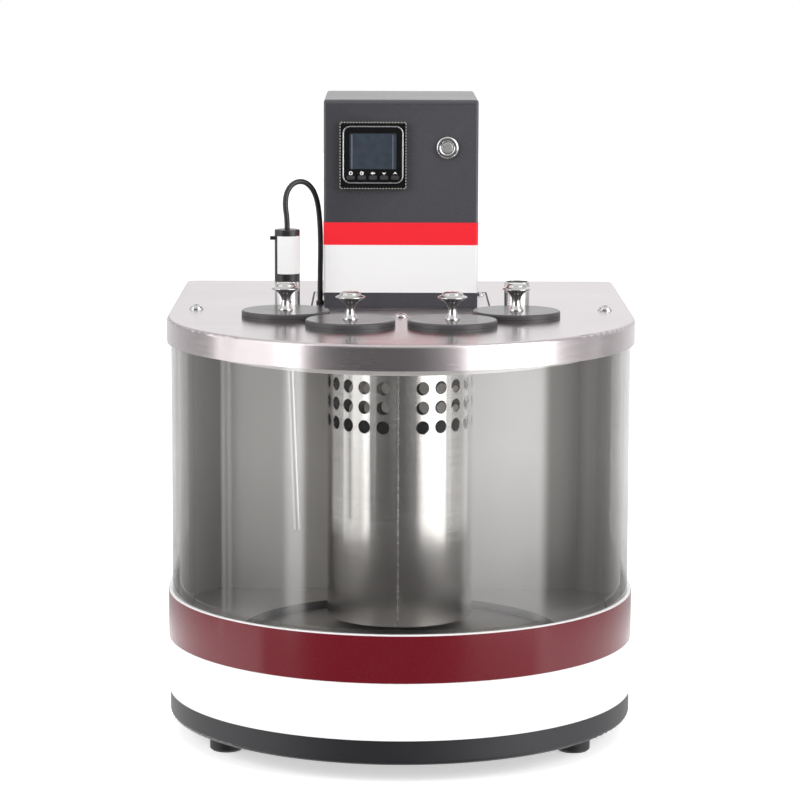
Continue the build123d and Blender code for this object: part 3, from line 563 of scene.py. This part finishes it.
class BATH_OT_cable(bpy.types.Operator):
    """Hang the temperature cable from the probe head to its grommet in the lid"""
    bl_idname = "bath.cable"
    bl_label = "Temperature cable"

    route = [
        (-0.0830, 0.0140, 0.3601),
        (-0.0830, 0.0140, 0.3676),
        (-0.0846, 0.0156, 0.3776),
        (-0.0836, 0.0186, 0.3871),
        (-0.0786, 0.0232, 0.3935),
        (-0.0712, 0.0288, 0.3943),
        (-0.0649, 0.0336, 0.3887),
        (-0.0614, 0.0364, 0.3791),
        (-0.0599, 0.0380, 0.3671),
        (-0.0592, 0.0389, 0.3531),
        (-0.0592, 0.0396, 0.3381),
        (-0.0595, 0.0400, 0.3231),
        (-0.0595, 0.0400, 0.3050),
    ]
    length = 0.1398

    def execute(self, context):
        sizes, colours = context.scene.bath_sizes, context.scene.bath_colours
        curve = bpy.data.curves.new("temperature_cable", "CURVE")
        curve.dimensions = "3D"
        curve.bevel_depth = sizes.cable_diameter / 2
        curve.bevel_resolution = 6
        curve.resolution_u = 16
        curve.use_fill_caps = True
        line = curve.splines.new("NURBS")
        line.points.add(len(self.route) - 1)
        for point, where in zip(line.points, self.route):
            point.co = (*where, 1)
        line.order_u = 3
        line.use_endpoint_u = True
        cable = bpy.data.objects.new("temperature_cable", curve)
        context.scene.collection.objects.link(cable)
        curve.materials.append(
            moulded("cable_sheath", tinted(colours.rubber, 0.9), roughness=0.36, grain=900.0, depth=0.12, dust=0.10))
        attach(cable, "root")
        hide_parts("sensor_cable")
        return {"FINISHED"}


class BATH_OT_lid(bpy.types.Operator):
    """Brush the lid and its mounting plate and dress their screws"""
    bl_idname = "bath.lid"
    bl_label = "Lid"

    head_radius = 0.0053
    head_height = 0.0030
    washer_height = 0.0009
    gap_side, gap_rear, gap_depth = 0.0013, 0.0032, 0.0008

    def execute(self, context):
        colours = context.scene.bath_colours
        grain = (16.0, 900.0, 900.0)
        dress(brushed("brushed_lid", colours.steel, grain, roughness=0.23, depth=0.04, contrast=0.08, bent_y=arc_y),
              "lid")
        dress(brushed("brushed_plate", tinted(colours.steel, 0.95), grain, roughness=0.25, depth=0.06, contrast=0.08),
              "mounting_plate")
        steel = brushed("screw_steel", colours.chrome, (600.0, 600.0, 600.0), roughness=0.12, depth=0.03)
        dress(steel, "lid_screws", "cover_screws")
        # painted shade: a near-black finish for the shade round the plate's edge and in the screws' recesses
        dark = moulded("recess_shade", (0.02, 0.02, 0.02), roughness=0.6, grain=900.0, depth=0.2)
        heads, crosses = [], []
        for x, y in screw_places:
            heads.append(self.head(x, y))
            crosses.append(self.cross(x, y, lid_top + self.head_height * 0.98))
        # painted shadow: a near-black strip round the mounting plate, for the shade at its edge
        new_piece("plate_shadow", self.gap(), dark)
        new_piece("screw_heads", join_meshes("screw_heads", heads), steel, smooth=50.0)
        # painted shade in the cross recesses of the screw heads
        new_piece("screw_recesses", join_meshes("screw_recesses", crosses), dark)
        return {"FINISHED"}

    def gap(self):
        """Painted shadow round the mounting plate: a near-black strip for the shade in the joint at its edge."""
        low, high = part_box("mounting_plate")
        side, rear, z = self.gap_side, self.gap_rear, lid_top + 0.00006
        inner = [(low.x, low.y), (high.x, low.y), (high.x, high.y), (low.x, high.y)]
        outer = [(x + math.copysign(side, x), y + (rear if y == high.y else -side)) for x, y in inner]
        corners = [(x, y, level) for level in (z, z - self.gap_depth) for x, y in inner + outer]
        faces = []
        for k in range(4):
            j = (k + 1) % 4
            faces += [[k, j, j + 4, k + 4], [k + 8, j + 8, j + 12, k + 12], [k, j, j + 8, k + 8],
                      [k + 4, j + 4, j + 12, k + 12]]
        return mesh_from("gap", corners, faces)

    def head(self, x, y):
        """A pan head over a thin washer."""
        radius, seat = self.head_radius, lid_top + self.washer_height
        outline = [(0.0, lid_top), (radius, lid_top), (radius, lid_top + 0.0006), (radius * 0.88, seat)]
        outline += [(radius * 0.87 * math.cos(t), seat + (self.head_height - self.washer_height) * math.sin(t))
                    for t in [math.pi / 2 * k / 8 for k in range(8)]]
        outline.append((0.0, lid_top + self.head_height))
        return turned("head", outline, x, y, 48)

    def cross(self, x, y, z):
        """The four arms of the recess, as a dark star of painted shade just in the top of the head."""
        arm, half = 0.0020, 0.00045
        plan = [(half, half), (arm, half), (arm, -half), (half, -half), (half, -arm), (-half, -arm), (-half, -half),
                (-arm, -half), (-arm, half), (-half, half), (-half, arm), (half, arm)]
        corners = [(x + px, y + py, level) for level in (z - 0.0006, z + 0.00008) for px, py in plan]
        faces = [list(range(12, 24)), list(range(11, -1, -1))]
        faces += [[k, (k + 1) % 12, (k + 1) % 12 + 12, k + 12] for k in range(12)]
        return mesh_from("cross", corners, faces)


class BATH_OT_tank(bpy.types.Operator):
    """Finish the steel of the tank, its guide cylinder, heater and stirrer"""
    bl_idname = "bath.tank"
    bl_label = "Tank"

    # painted shade: up to this distance from the stirrer's axis the guide cylinder's steel is darkened
    painted_shade_radius = 0.0538

    def execute(self, context):
        colours = context.scene.bath_colours
        satin = colours.satin
        sheet = {"depth": 0.01, "contrast": 0.04, "smudge": 0.06, "metallic": 0.3}
        dress(brushed("brushed_cylinder", (0.86, 0.82, 0.795), (12.0, 12.0, 1100.0), roughness=0.22, depth=0.06,
                      contrast=0.16, smudge=0.06, inside=self.painted_shade_radius),
              "guide_cylinder")
        dress(brushed("brushed_back", (0.35, 0.338, 0.324), (10.0, 10.0, 260.0), roughness=0.50, **sheet),
              "back_panel")
        dress(brushed("rear_casing_steel", (0.58, 0.56, 0.535), (10.0, 10.0, 260.0), roughness=0.45, **sheet),
              "rear_casing")
        dress(brushed("floor_steel", (0.42, 0.405, 0.39), (16.0, 700.0, 300.0), roughness=0.34, depth=0.02,
                      contrast=0.08, smudge=0.10, metallic=0.5),
              "tank_floor")
        dress(spun("post_steel", satin, 0.0, 0.003), "floor_posts")
        dress(spun("shaft_steel", satin, 0.0, stirrer_y), "stirrer_shaft", "shaft_coupling")
        dress(brushed("impeller_steel", satin, (200.0, 200.0, 200.0)), "impeller")
        dress(brushed("bracket_steel", satin, (300.0, 20.0, 300.0), roughness=0.32), "motor_bracket")
        dress(brushed("heater_sheath", (0.085, 0.08, 0.078), (120.0, 120.0, 900.0), roughness=0.42, depth=0.2,
                      contrast=0.3),
              "heater_ring")
        dress(brushed("bush_bronze", colours.bronze, (400.0, 400.0, 400.0), roughness=0.35), "shaft_bearing")
        dress(coat("motor_coat", tinted(colours.tower, 0.6), roughness=0.4), "stirrer_motor")
        return {"FINISHED"}


class BATH_OT_wall(bpy.types.Operator):
    """Make the clear bent wall and its seals"""
    bl_idname = "bath.wall"
    bl_label = "Clear wall"

    def execute(self, context):
        colours = context.scene.bath_colours
        finish = Finish("clear_wall")
        place = finish.place()
        haze = finish.noise(place, 22.0, 4.0, 0.6)
        wipe = finish.noise(finish.scaled(place, (30.0, 30.0, 220.0)), 1.0, 3.0)
        gloss = finish.node("ShaderNodeBsdfPrincipled", None, {
            "Base Color": (0.96, 0.95, 0.955, 1),
            "Metallic": 1.0,
            "Roughness": finish.span(haze + (wipe - 0.5) * 0.3, 0.35, 0.75, 0.02, 0.05),
        })
        clear = finish.node("ShaderNodeBsdfTransparent", None, {"Color": (0.975, 0.972, 0.966, 1)})
        facing = finish.node("ShaderNodeLayerWeight", None, {"Blend": 0.5}, "Facing")
        edge = facing ** 5 * 0.93 + 0.065
        marks = finish.ramp(finish.noise(place, 160.0, 2.0), (0.66, 0), (0.80, 1))
        share = edge + marks * 0.02 + haze * 0.01
        wall = finish.node("ShaderNodeMixShader", None, {0: share, 1: clear, 2: gloss})
        dress(finish.surface(wall), "glass_wall")
        pale = moulded("lip_silicone", (0.62, 0.60, 0.60), roughness=0.5, grain=900.0, depth=0.1)
        new_piece("gasket_lip", self.lip(), pale)
        dress(moulded("seal_rubber", colours.rubber, roughness=0.55, grain=1500.0, depth=0.2), "glass_gaskets",
              "seal_strips", "cable_grommet")
        return {"FINISHED"}

    def lip(self):
        """The lower edge of the upper seal, which shows under the middle of the lid's rim."""
        low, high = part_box("glass_wall")
        reach, top = (high.x - low.x) / 2 - 0.0056, lid_bottom + 0.003

        def section(turn):
            drop = 0.0042 * max(math.cos((turn + math.pi / 2) * 1.4), 0.0) ** 0.7
            bottom = lid_bottom - drop
            return (reach, top), (reach - 0.001, top), (reach - 0.001, bottom), (reach, bottom)

        return bent_strip("lip", 0.0, arc_y, -154.0, -26.0, 72, section)


class BATH_OT_base(bpy.types.Operator):
    """Coat the base, lay the maroon film round it and dress the feet"""
    bl_idname = "bath.base"
    bl_label = "Base"

    def execute(self, context):
        colours = context.scene.bath_colours
        dress(coat("tray_coat", colours.charcoal, roughness=0.46, grain=1100.0, mottling=0.2), "base_plinth")
        dress(coat("white_coat", colours.white, roughness=0.36, texture=0.12, grain=700.0, mottling=0.03),
              "base_shell")
        dress(coat("maroon_film", colours.maroon, roughness=0.28, texture=0.0, mottling=0.012,
                   specular_ior_level=0.25, coat_weight=0.5, coat_roughness=0.06),
              "colour_band")
        dress(moulded("foot_rubber", colours.rubber, roughness=0.6, grain=1400.0, depth=0.35), "foot_front_left",
              "foot_front_right", "foot_rear_left", "foot_rear_right")
        return {"FINISHED"}


class BATH_OT_covers(bpy.types.Operator):
    """Finish the four covers and turn their polished knobs"""
    bl_idname = "bath.covers"
    bl_label = "Covers"

    cover_thickness = 0.005
    # Each knob's outline in radius and height: its flared stem, its rim and its top.
    knob_curves = [
        ([(0.0053, 0.0006), (0.0047, 0.0016), (0.0036, 0.0034), (0.0030, 0.0060), (0.0032, 0.0083), (0.0044, 0.0109),
          (0.0068, 0.0132), (0.0094, 0.0146)], 6),
        ([(0.0094, 0.0146), (0.01025, 0.0151), (0.0103, 0.0156), (0.0099, 0.0160)], 4),
        ([(0.0091, 0.0163), (0.0081, 0.0166), (0.0074, 0.0174), (0.0066, 0.0186), (0.0050, 0.0193), (0.0028, 0.0195),
          (0.0, 0.0194)], 6),
    ]

    def execute(self, context):
        colours = context.scene.bath_colours
        shine = Finish("polished_knob")
        px, py, pz = shine.split(shine.place())
        rings = shine.noise(shine.join(0.0, 0.0, pz * 2600.0), 1.0, 2.0)
        smear = shine.noise(shine.place(), 90.0, 3.0)
        shade = shine.mix((rings - 0.5) * 0.12 + 0.5, tinted(colours.chrome, 0.70), tinted(colours.chrome, 0.92))
        polish = shine.principled(base_color=shade, metallic=1.0, roughness=shine.span(smear, 0.3, 0.7, 0.04, 0.12),
                                  normal=shine.bump(rings, 0.05, 0.00005))
        seat = lid_top + self.cover_thickness
        profile = [(0.0053, 0.0), (0.0053, 0.0006)]
        for points, steps in self.knob_curves:
            profile += flowing(points, steps)
        outline = [(0.0, seat)] + [(r, seat + z) for r, z in profile]
        for side, (x, y) in cover_places.items():
            dress(self.laminate(colours, x, y, side), f"cover_{side}")
            knob = new_piece(f"turned_knob_{side}", turned(f"turned_knob_{side}", outline, x, y), polish,
                             smooth=50.0)
            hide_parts(f"knob_{side}")
        return {"FINISHED"}

    def laminate(self, colours, x, y, side):
        """Black laminate: a satin top with a fine turned grain, and a matt edge."""
        finish = Finish(f"laminate_{side}")
        place = finish.place()
        px, py, pz = finish.split(place)
        rings = finish.noise(finish.join(finish.reach(place, x, y) * 1800.0, 0.0, 0.0), 1.0, 2.0)
        cloud = finish.noise(place, 40.0, 4.0)
        layers = finish.noise(finish.join(px * 60.0, py * 60.0, pz * 1600.0), 1.0, 2.0)
        above = pz > lid_top + 0.0047
        shade = finish.mix((cloud - 0.5) * 0.3 + 0.5, tinted(colours.cover, 0.7), tinted(colours.cover, 1.3))
        shade = finish.mix((1 - above) * layers * 0.4, shade, tinted(colours.cover, 1.8))
        rough = above * 0.22 + (1 - above) * 0.42 + (cloud - 0.5) * 0.08 + (rings - 0.5) * 0.08
        return finish.principled(base_color=shade, roughness=rough, normal=finish.bump(rings, 0.10, 0.0001))


class BATH_OT_tower(bpy.types.Operator):
    """Coat the control tower and its coloured bands"""
    bl_idname = "bath.tower"
    bl_label = "Control tower"

    def execute(self, context):
        colours = context.scene.bath_colours
        # edge gives the tower's sharp edges a painted highlight
        dress(coat("tower_coat", colours.tower, roughness=0.27, texture=0.06, grain=1300.0, mottling=0.12, edge=0.3),
              "control_housing", "tower_rear_panel")
        dress(coat("tower_white", colours.white, roughness=0.40, texture=0.10, mottling=0.03), "white_panel")
        dress(coat("tower_red", colours.red, roughness=0.40, texture=0.10, mottling=0.05, specular_ior_level=0.3),
              "red_panel")
        dress(brushed("rear_screw_steel", colours.chrome, (500.0, 500.0, 500.0), roughness=0.25),
              "rear_panel_screws")
        return {"FINISHED"}


class BATH_OT_controller(bpy.types.Operator):
    """Finish the controller: its ribbed gasket, bright frame, display, keys and symbols"""
    bl_idname = "bath.controller"
    bl_label = "Controller"

    gasket_half = 0.0240
    gasket_width, gasket_rise = 0.0007, 0.0044
    key_pitch = 0.0081

    def execute(self, context):
        colours, sizes = context.scene.bath_colours, context.scene.bath_sizes
        dress(moulded("controller_black", tinted(colours.plastic, 0.3), roughness=0.34, grain=2200.0, depth=0.06,
                      dust=0.02, specular_ior_level=0.2),
              "controller_bezel")
        dress(moulded("case_black", colours.plastic, roughness=0.5), "controller_case")
        dress(moulded("key_rubber", (0.030, 0.030, 0.032), roughness=0.5, grain=1600.0, depth=0.2),
              *[f"key_{i}" for i in range(1, 6)])
        dress(self.display(colours), "controller_screen")
        silver = brushed("frame_silver", (0.62, 0.63, 0.65), (300.0, 300.0, 300.0), roughness=0.28, depth=0.1)
        rim = rounded_rim("controller_rim", width=0.0434, height=0.0410, radius=0.0050, x=controller_x,
                          z=controller_z + 0.0006, y=controller_face_y + 0.0002, thickness=0.0010, rise=0.0005)
        new_piece("controller_rim", rim, silver)
        self.gasket(sizes)
        self.symbols(sizes)
        return {"FINISHED"}

    def display(self, colours):
        """Dark glass with two faint upright lines."""
        finish = Finish("display_glass")
        px, py, pz = finish.split(finish.place())
        left = (px > controller_x - 0.0158) * (px < controller_x - 0.0150)
        right = (px > controller_x + 0.0142) * (px < controller_x + 0.0148)
        lines = (left + right) * (pz < lid_top + 0.1262)
        cloud = finish.noise(finish.place(), 160.0, 4.0)
        shade = finish.mix(finish.span(cloud, 0.3, 0.7), tinted(colours.display, 0.66), tinted(colours.display, 0.90))
        shade = finish.mix(lines * 0.35, shade, (0.30, 0.30, 0.34))
        return finish.principled(base_color=shade, roughness=finish.span(cloud, 0.3, 0.7, 0.08, 0.16), coat_weight=0.4,
                                 coat_roughness=0.05)

    def gasket(self, sizes):
        """The ribbed seal that shows all round the bezel, on the tower's front."""
        pale = moulded("gasket_rubber", (0.30, 0.29, 0.27), roughness=0.5, grain=1500.0)
        half, thin, length = self.gasket_half, self.gasket_width, sizes.gasket_pitch * 0.62
        meshes = []
        count = int(2 * half / sizes.gasket_pitch)
        for i in range(count):
            along = -half + (i + 0.5) * 2 * half / count
            for side in (-1, 1):
                for wide, high, dx, dz in ((length, thin, along, side * half), (thin, length, side * half, along)):
                    outline = rounded_outline(wide, high, 0.0002, controller_x + dx, controller_z + dz, 2)
                    meshes.append(raised("rib", outline, tower_face_y, self.gasket_rise, 0.0001))
        new_piece("gasket_ribs", join_meshes("gasket_ribs", meshes), pale)

    def symbols(self, sizes):
        """Plain signs over the five keys: a ring, a turned arrow, and arrows to the left, down and up."""
        ink = coat("symbol_ink", (0.86, 0.86, 0.86), roughness=0.5, texture=0.1, grain=1500.0, mottling=0.04)
        half, z = sizes.icon_height / 2, lid_top + 0.0983
        x = [controller_x + (i - 2) * self.key_pitch for i in range(5)]
        shapes = self.ring_parts(x[0], z, half * 1.25, half * 0.62)
        shapes += self.ring_parts(x[1], z, half * 1.2, half * 0.7, 0.2, 0.85)
        signs = [
            (x[1], [(-0.3, 0.3), (1.2, 0.9), (1.0, -1.0)]),
            (x[2], [(-1.5, 0.0), (0.0, -1.0), (0.0, 1.0)]),
            (x[2], [(0.0, -0.35), (1.3, -0.35), (1.3, 0.35), (0.0, 0.35)]),
            (x[3], [(0.0, -1.0), (1.4, 0.6), (0.0, 0.15), (-1.4, 0.6)]),
            (x[4], [(0.0, 1.0), (-1.4, -0.6), (0.0, -0.15), (1.4, -0.6)]),
        ]
        shapes += [[(middle + half * dx, z + half * dz) for dx, dz in corners] for middle, corners in signs]
        meshes = [raised("symbol", outline, controller_face_y + 0.00002, 0.00006) for outline in shapes]
        new_piece("key_symbols", join_meshes("key_symbols", meshes), ink)

    def ring_parts(self, x, z, outer, inner, start=0.0, end=1.0):
        """A flat ring, or a part of one, in short pieces. start and end are shares of a turn."""
        parts, count = [], 16
        for k in range(count):
            a = 2 * math.pi * (start + (end - start) * k / count)
            b = 2 * math.pi * (start + (end - start) * (k + 1) / count)
            parts.append([(x + r * math.cos(t), z + r * math.sin(t))
                          for r, t in ((outer, a), (outer, b), (inner, b), (inner, a))])
        return parts


class BATH_OT_button(bpy.types.Operator):
    """Polish the push button and its ring"""
    bl_idname = "bath.button"
    bl_label = "Push button"

    rim_rise = 0.0014

    def execute(self, context):
        colours = context.scene.bath_colours
        dress(brushed("button_ring_steel", colours.chrome, (400.0, 400.0, 400.0), roughness=0.12, depth=0.06,
                      contrast=0.08),
              "button_ring")
        dress(brushed("button_cap_steel", tinted(colours.chrome, 0.95), (1200.0, 1200.0, 1200.0), roughness=0.48,
                      depth=0.2, contrast=0.2),
              "fan_button")
        low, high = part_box("button_ring")
        cap_low, cap_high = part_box("fan_button")
        outer, inner = (high.x - low.x) / 2, (cap_high.x - cap_low.x) / 2 + 0.0004
        middle, half = (outer + inner) / 2, (outer - inner) / 2
        section = [(middle + half * math.cos(t), self.rim_rise * math.sin(t))
                   for t in [math.pi * k / 12 for k in range(13)]]
        ring = turned("button_rim", section, 0, 0, 72)
        for v in ring.vertices:
            x, y, z = v.co
            v.co = ((low.x + high.x) / 2 + x, low.y + 0.0002 - z, (low.z + high.z) / 2 + y)
        polish = brushed("button_rim_steel", colours.chrome, (500.0, 500.0, 500.0), roughness=0.16, depth=0.02,
                         contrast=0.06)
        new_piece("button_rim", ring, polish)
        return {"FINISHED"}


class BATH_OT_probe(bpy.types.Operator):
    """Finish the probe head, wrap its blank label and dress the two ports"""
    bl_idname = "bath.probe"
    bl_label = "Probe and ports"

    label_radii = (0.00921, 0.00936)

    def execute(self, context):
        colours, sizes = context.scene.bath_colours, context.scene.bath_sizes
        dress(moulded("head_black", tinted(colours.plastic, 1.1), roughness=0.30, grain=1300.0, depth=0.12),
              "probe_head")
        dress(spun("port_steel", colours.chrome, probe_x, probe_y, roughness=0.2, contrast=0.10), "probe_port")
        dress(spun("open_port_steel", colours.chrome, thermometer_x, probe_y, roughness=0.2, contrast=0.10),
              "thermometer_port")
        dress(spun("rod_steel", (0.34, 0.33, 0.32), probe_x, probe_y, roughness=0.30), "probe_rod")
        paper = coat("label_paper", colours.label, roughness=0.55, texture=0.12, grain=1200.0, mottling=0.04)
        low = lid_top + sizes.label_bottom
        high = low + sizes.label_height
        inner, outer = self.label_radii
        section = (inner, low), (outer, low), (outer, high), (inner, high)
        wrap = bent_strip("blank_label", probe_x, probe_y, -138.0, 92.0, 64, lambda turn: section)
        new_piece("blank_label", wrap, paper)
        return {"FINISHED"}


class BATH_OT_rear(bpy.types.Operator):
    """Finish the fan, the mains socket and the switch at the rear of the tower"""
    bl_idname = "bath.rear"
    bl_label = "Tower rear"

    def execute(self, context):
        colours = context.scene.bath_colours
        black = colours.plastic
        dress(moulded("fan_frame_black", black), "fan_frame")
        dress(moulded("fan_rotor_black", tinted(black, 1.3), roughness=0.38, grain=1500.0, depth=0.1), "fan_rotor")
        dress(moulded("socket_black", black, roughness=0.42, grain=1500.0, depth=0.2), "power_inlet", "switch_frame")
        dress(moulded("rocker_black", tinted(black, 0.8), roughness=0.30, grain=1500.0, depth=0.1), "power_switch")
        return {"FINISHED"}


class BATH_OT_seam(bpy.types.Operator):
    """Lay the spot-welded seam down the front of the guide cylinder"""
    bl_idname = "bath.seam"
    bl_label = "Cylinder seam"

    bead_margin = 0.002
    spot_margin = 0.006

    def execute(self, context):
        sizes, colours = context.scene.bath_sizes, context.scene.bath_colours
        low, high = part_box("guide_cylinder")
        bright = brushed("weld_steel", tinted(colours.chrome, 0.7), (300.0, 300.0, 300.0), roughness=0.35)
        front_y = stirrer_y - (high.x - low.x) / 2
        meshes = [self.bead(low.z + self.bead_margin, high.z - self.bead_margin, front_y)]
        count = int((high.z - low.z - 2 * self.spot_margin) / sizes.weld_pitch)
        for i in range(count):
            z = low.z + self.spot_margin + (i + 0.3 * math.sin(i * 2.3)) * sizes.weld_pitch
            meshes.append(self.spot(front_y - 0.0002, z, sizes.weld_spot / 2))
        new_piece("seam_welds", join_meshes("seam_welds", meshes), bright)
        return {"FINISHED"}

    def spot(self, y, z, radius):
        """One flattened weld spot."""
        shape = bmesh.new()
        bmesh.ops.create_icosphere(shape, subdivisions=2, radius=radius)
        for v in shape.verts:
            v.co = (seam_x + v.co.x, y + v.co.y * 0.5, z + v.co.z)
        mesh = bpy.data.meshes.new("spot")
        shape.to_mesh(mesh)
        shape.free()
        return mesh

    def bead(self, bottom, top, front_y):
        """The raised lap of the sheet, half round."""
        half, rise = 0.00022, 0.00012
        section = [(half * math.cos(math.pi * k / 6), -rise * math.sin(math.pi * k / 6)) for k in range(7)]
        corners = [(seam_x + x, front_y + y, z) for z in (bottom, top) for x, y in section]
        faces = [[k, k + 1, k + 8, k + 7] for k in range(6)]
        return mesh_from("bead", corners, faces)


operators = (BATH_OT_stage, BATH_OT_cable, BATH_OT_lid, BATH_OT_tank, BATH_OT_wall, BATH_OT_base, BATH_OT_covers,
             BATH_OT_tower, BATH_OT_controller, BATH_OT_button, BATH_OT_probe, BATH_OT_rear, BATH_OT_seam)


class BATH_PT_panel(bpy.types.Panel):
    """The bath's sizes, colours and pieces"""
    bl_idname = "BATH_PT_panel"
    bl_label = "Viscosity bath"
    bl_space_type = "VIEW_3D"
    bl_region_type = "UI"
    bl_category = "Bath"

    def draw(self, context):
        for title, group in (("Sizes", context.scene.bath_sizes), ("Colours", context.scene.bath_colours)):
            box = self.layout.box()
            box.label(text=title)
            for name in group.bl_rna.properties.keys():
                if name not in ("rna_type", "name"):
                    box.prop(group, name)
        column = self.layout.column(align=True)
        for operator in operators:
            column.operator(operator.bl_idname)


classes = (BathColours, BathSizes, *operators, BATH_PT_panel)


def register():
    for cls in classes:
        bpy.utils.register_class(cls)
    bpy.types.Scene.bath_sizes = PointerProperty(type=BathSizes)
    bpy.types.Scene.bath_colours = PointerProperty(type=BathColours)


def unregister():
    del bpy.types.Scene.bath_colours
    del bpy.types.Scene.bath_sizes
    for cls in reversed(classes):
        bpy.utils.unregister_class(cls)


def main():
    register()
    for operator in operators:
        group, name = operator.bl_idname.split(".")
        getattr(getattr(bpy.ops, group), name)()


if __name__ == "__main__":
    main()
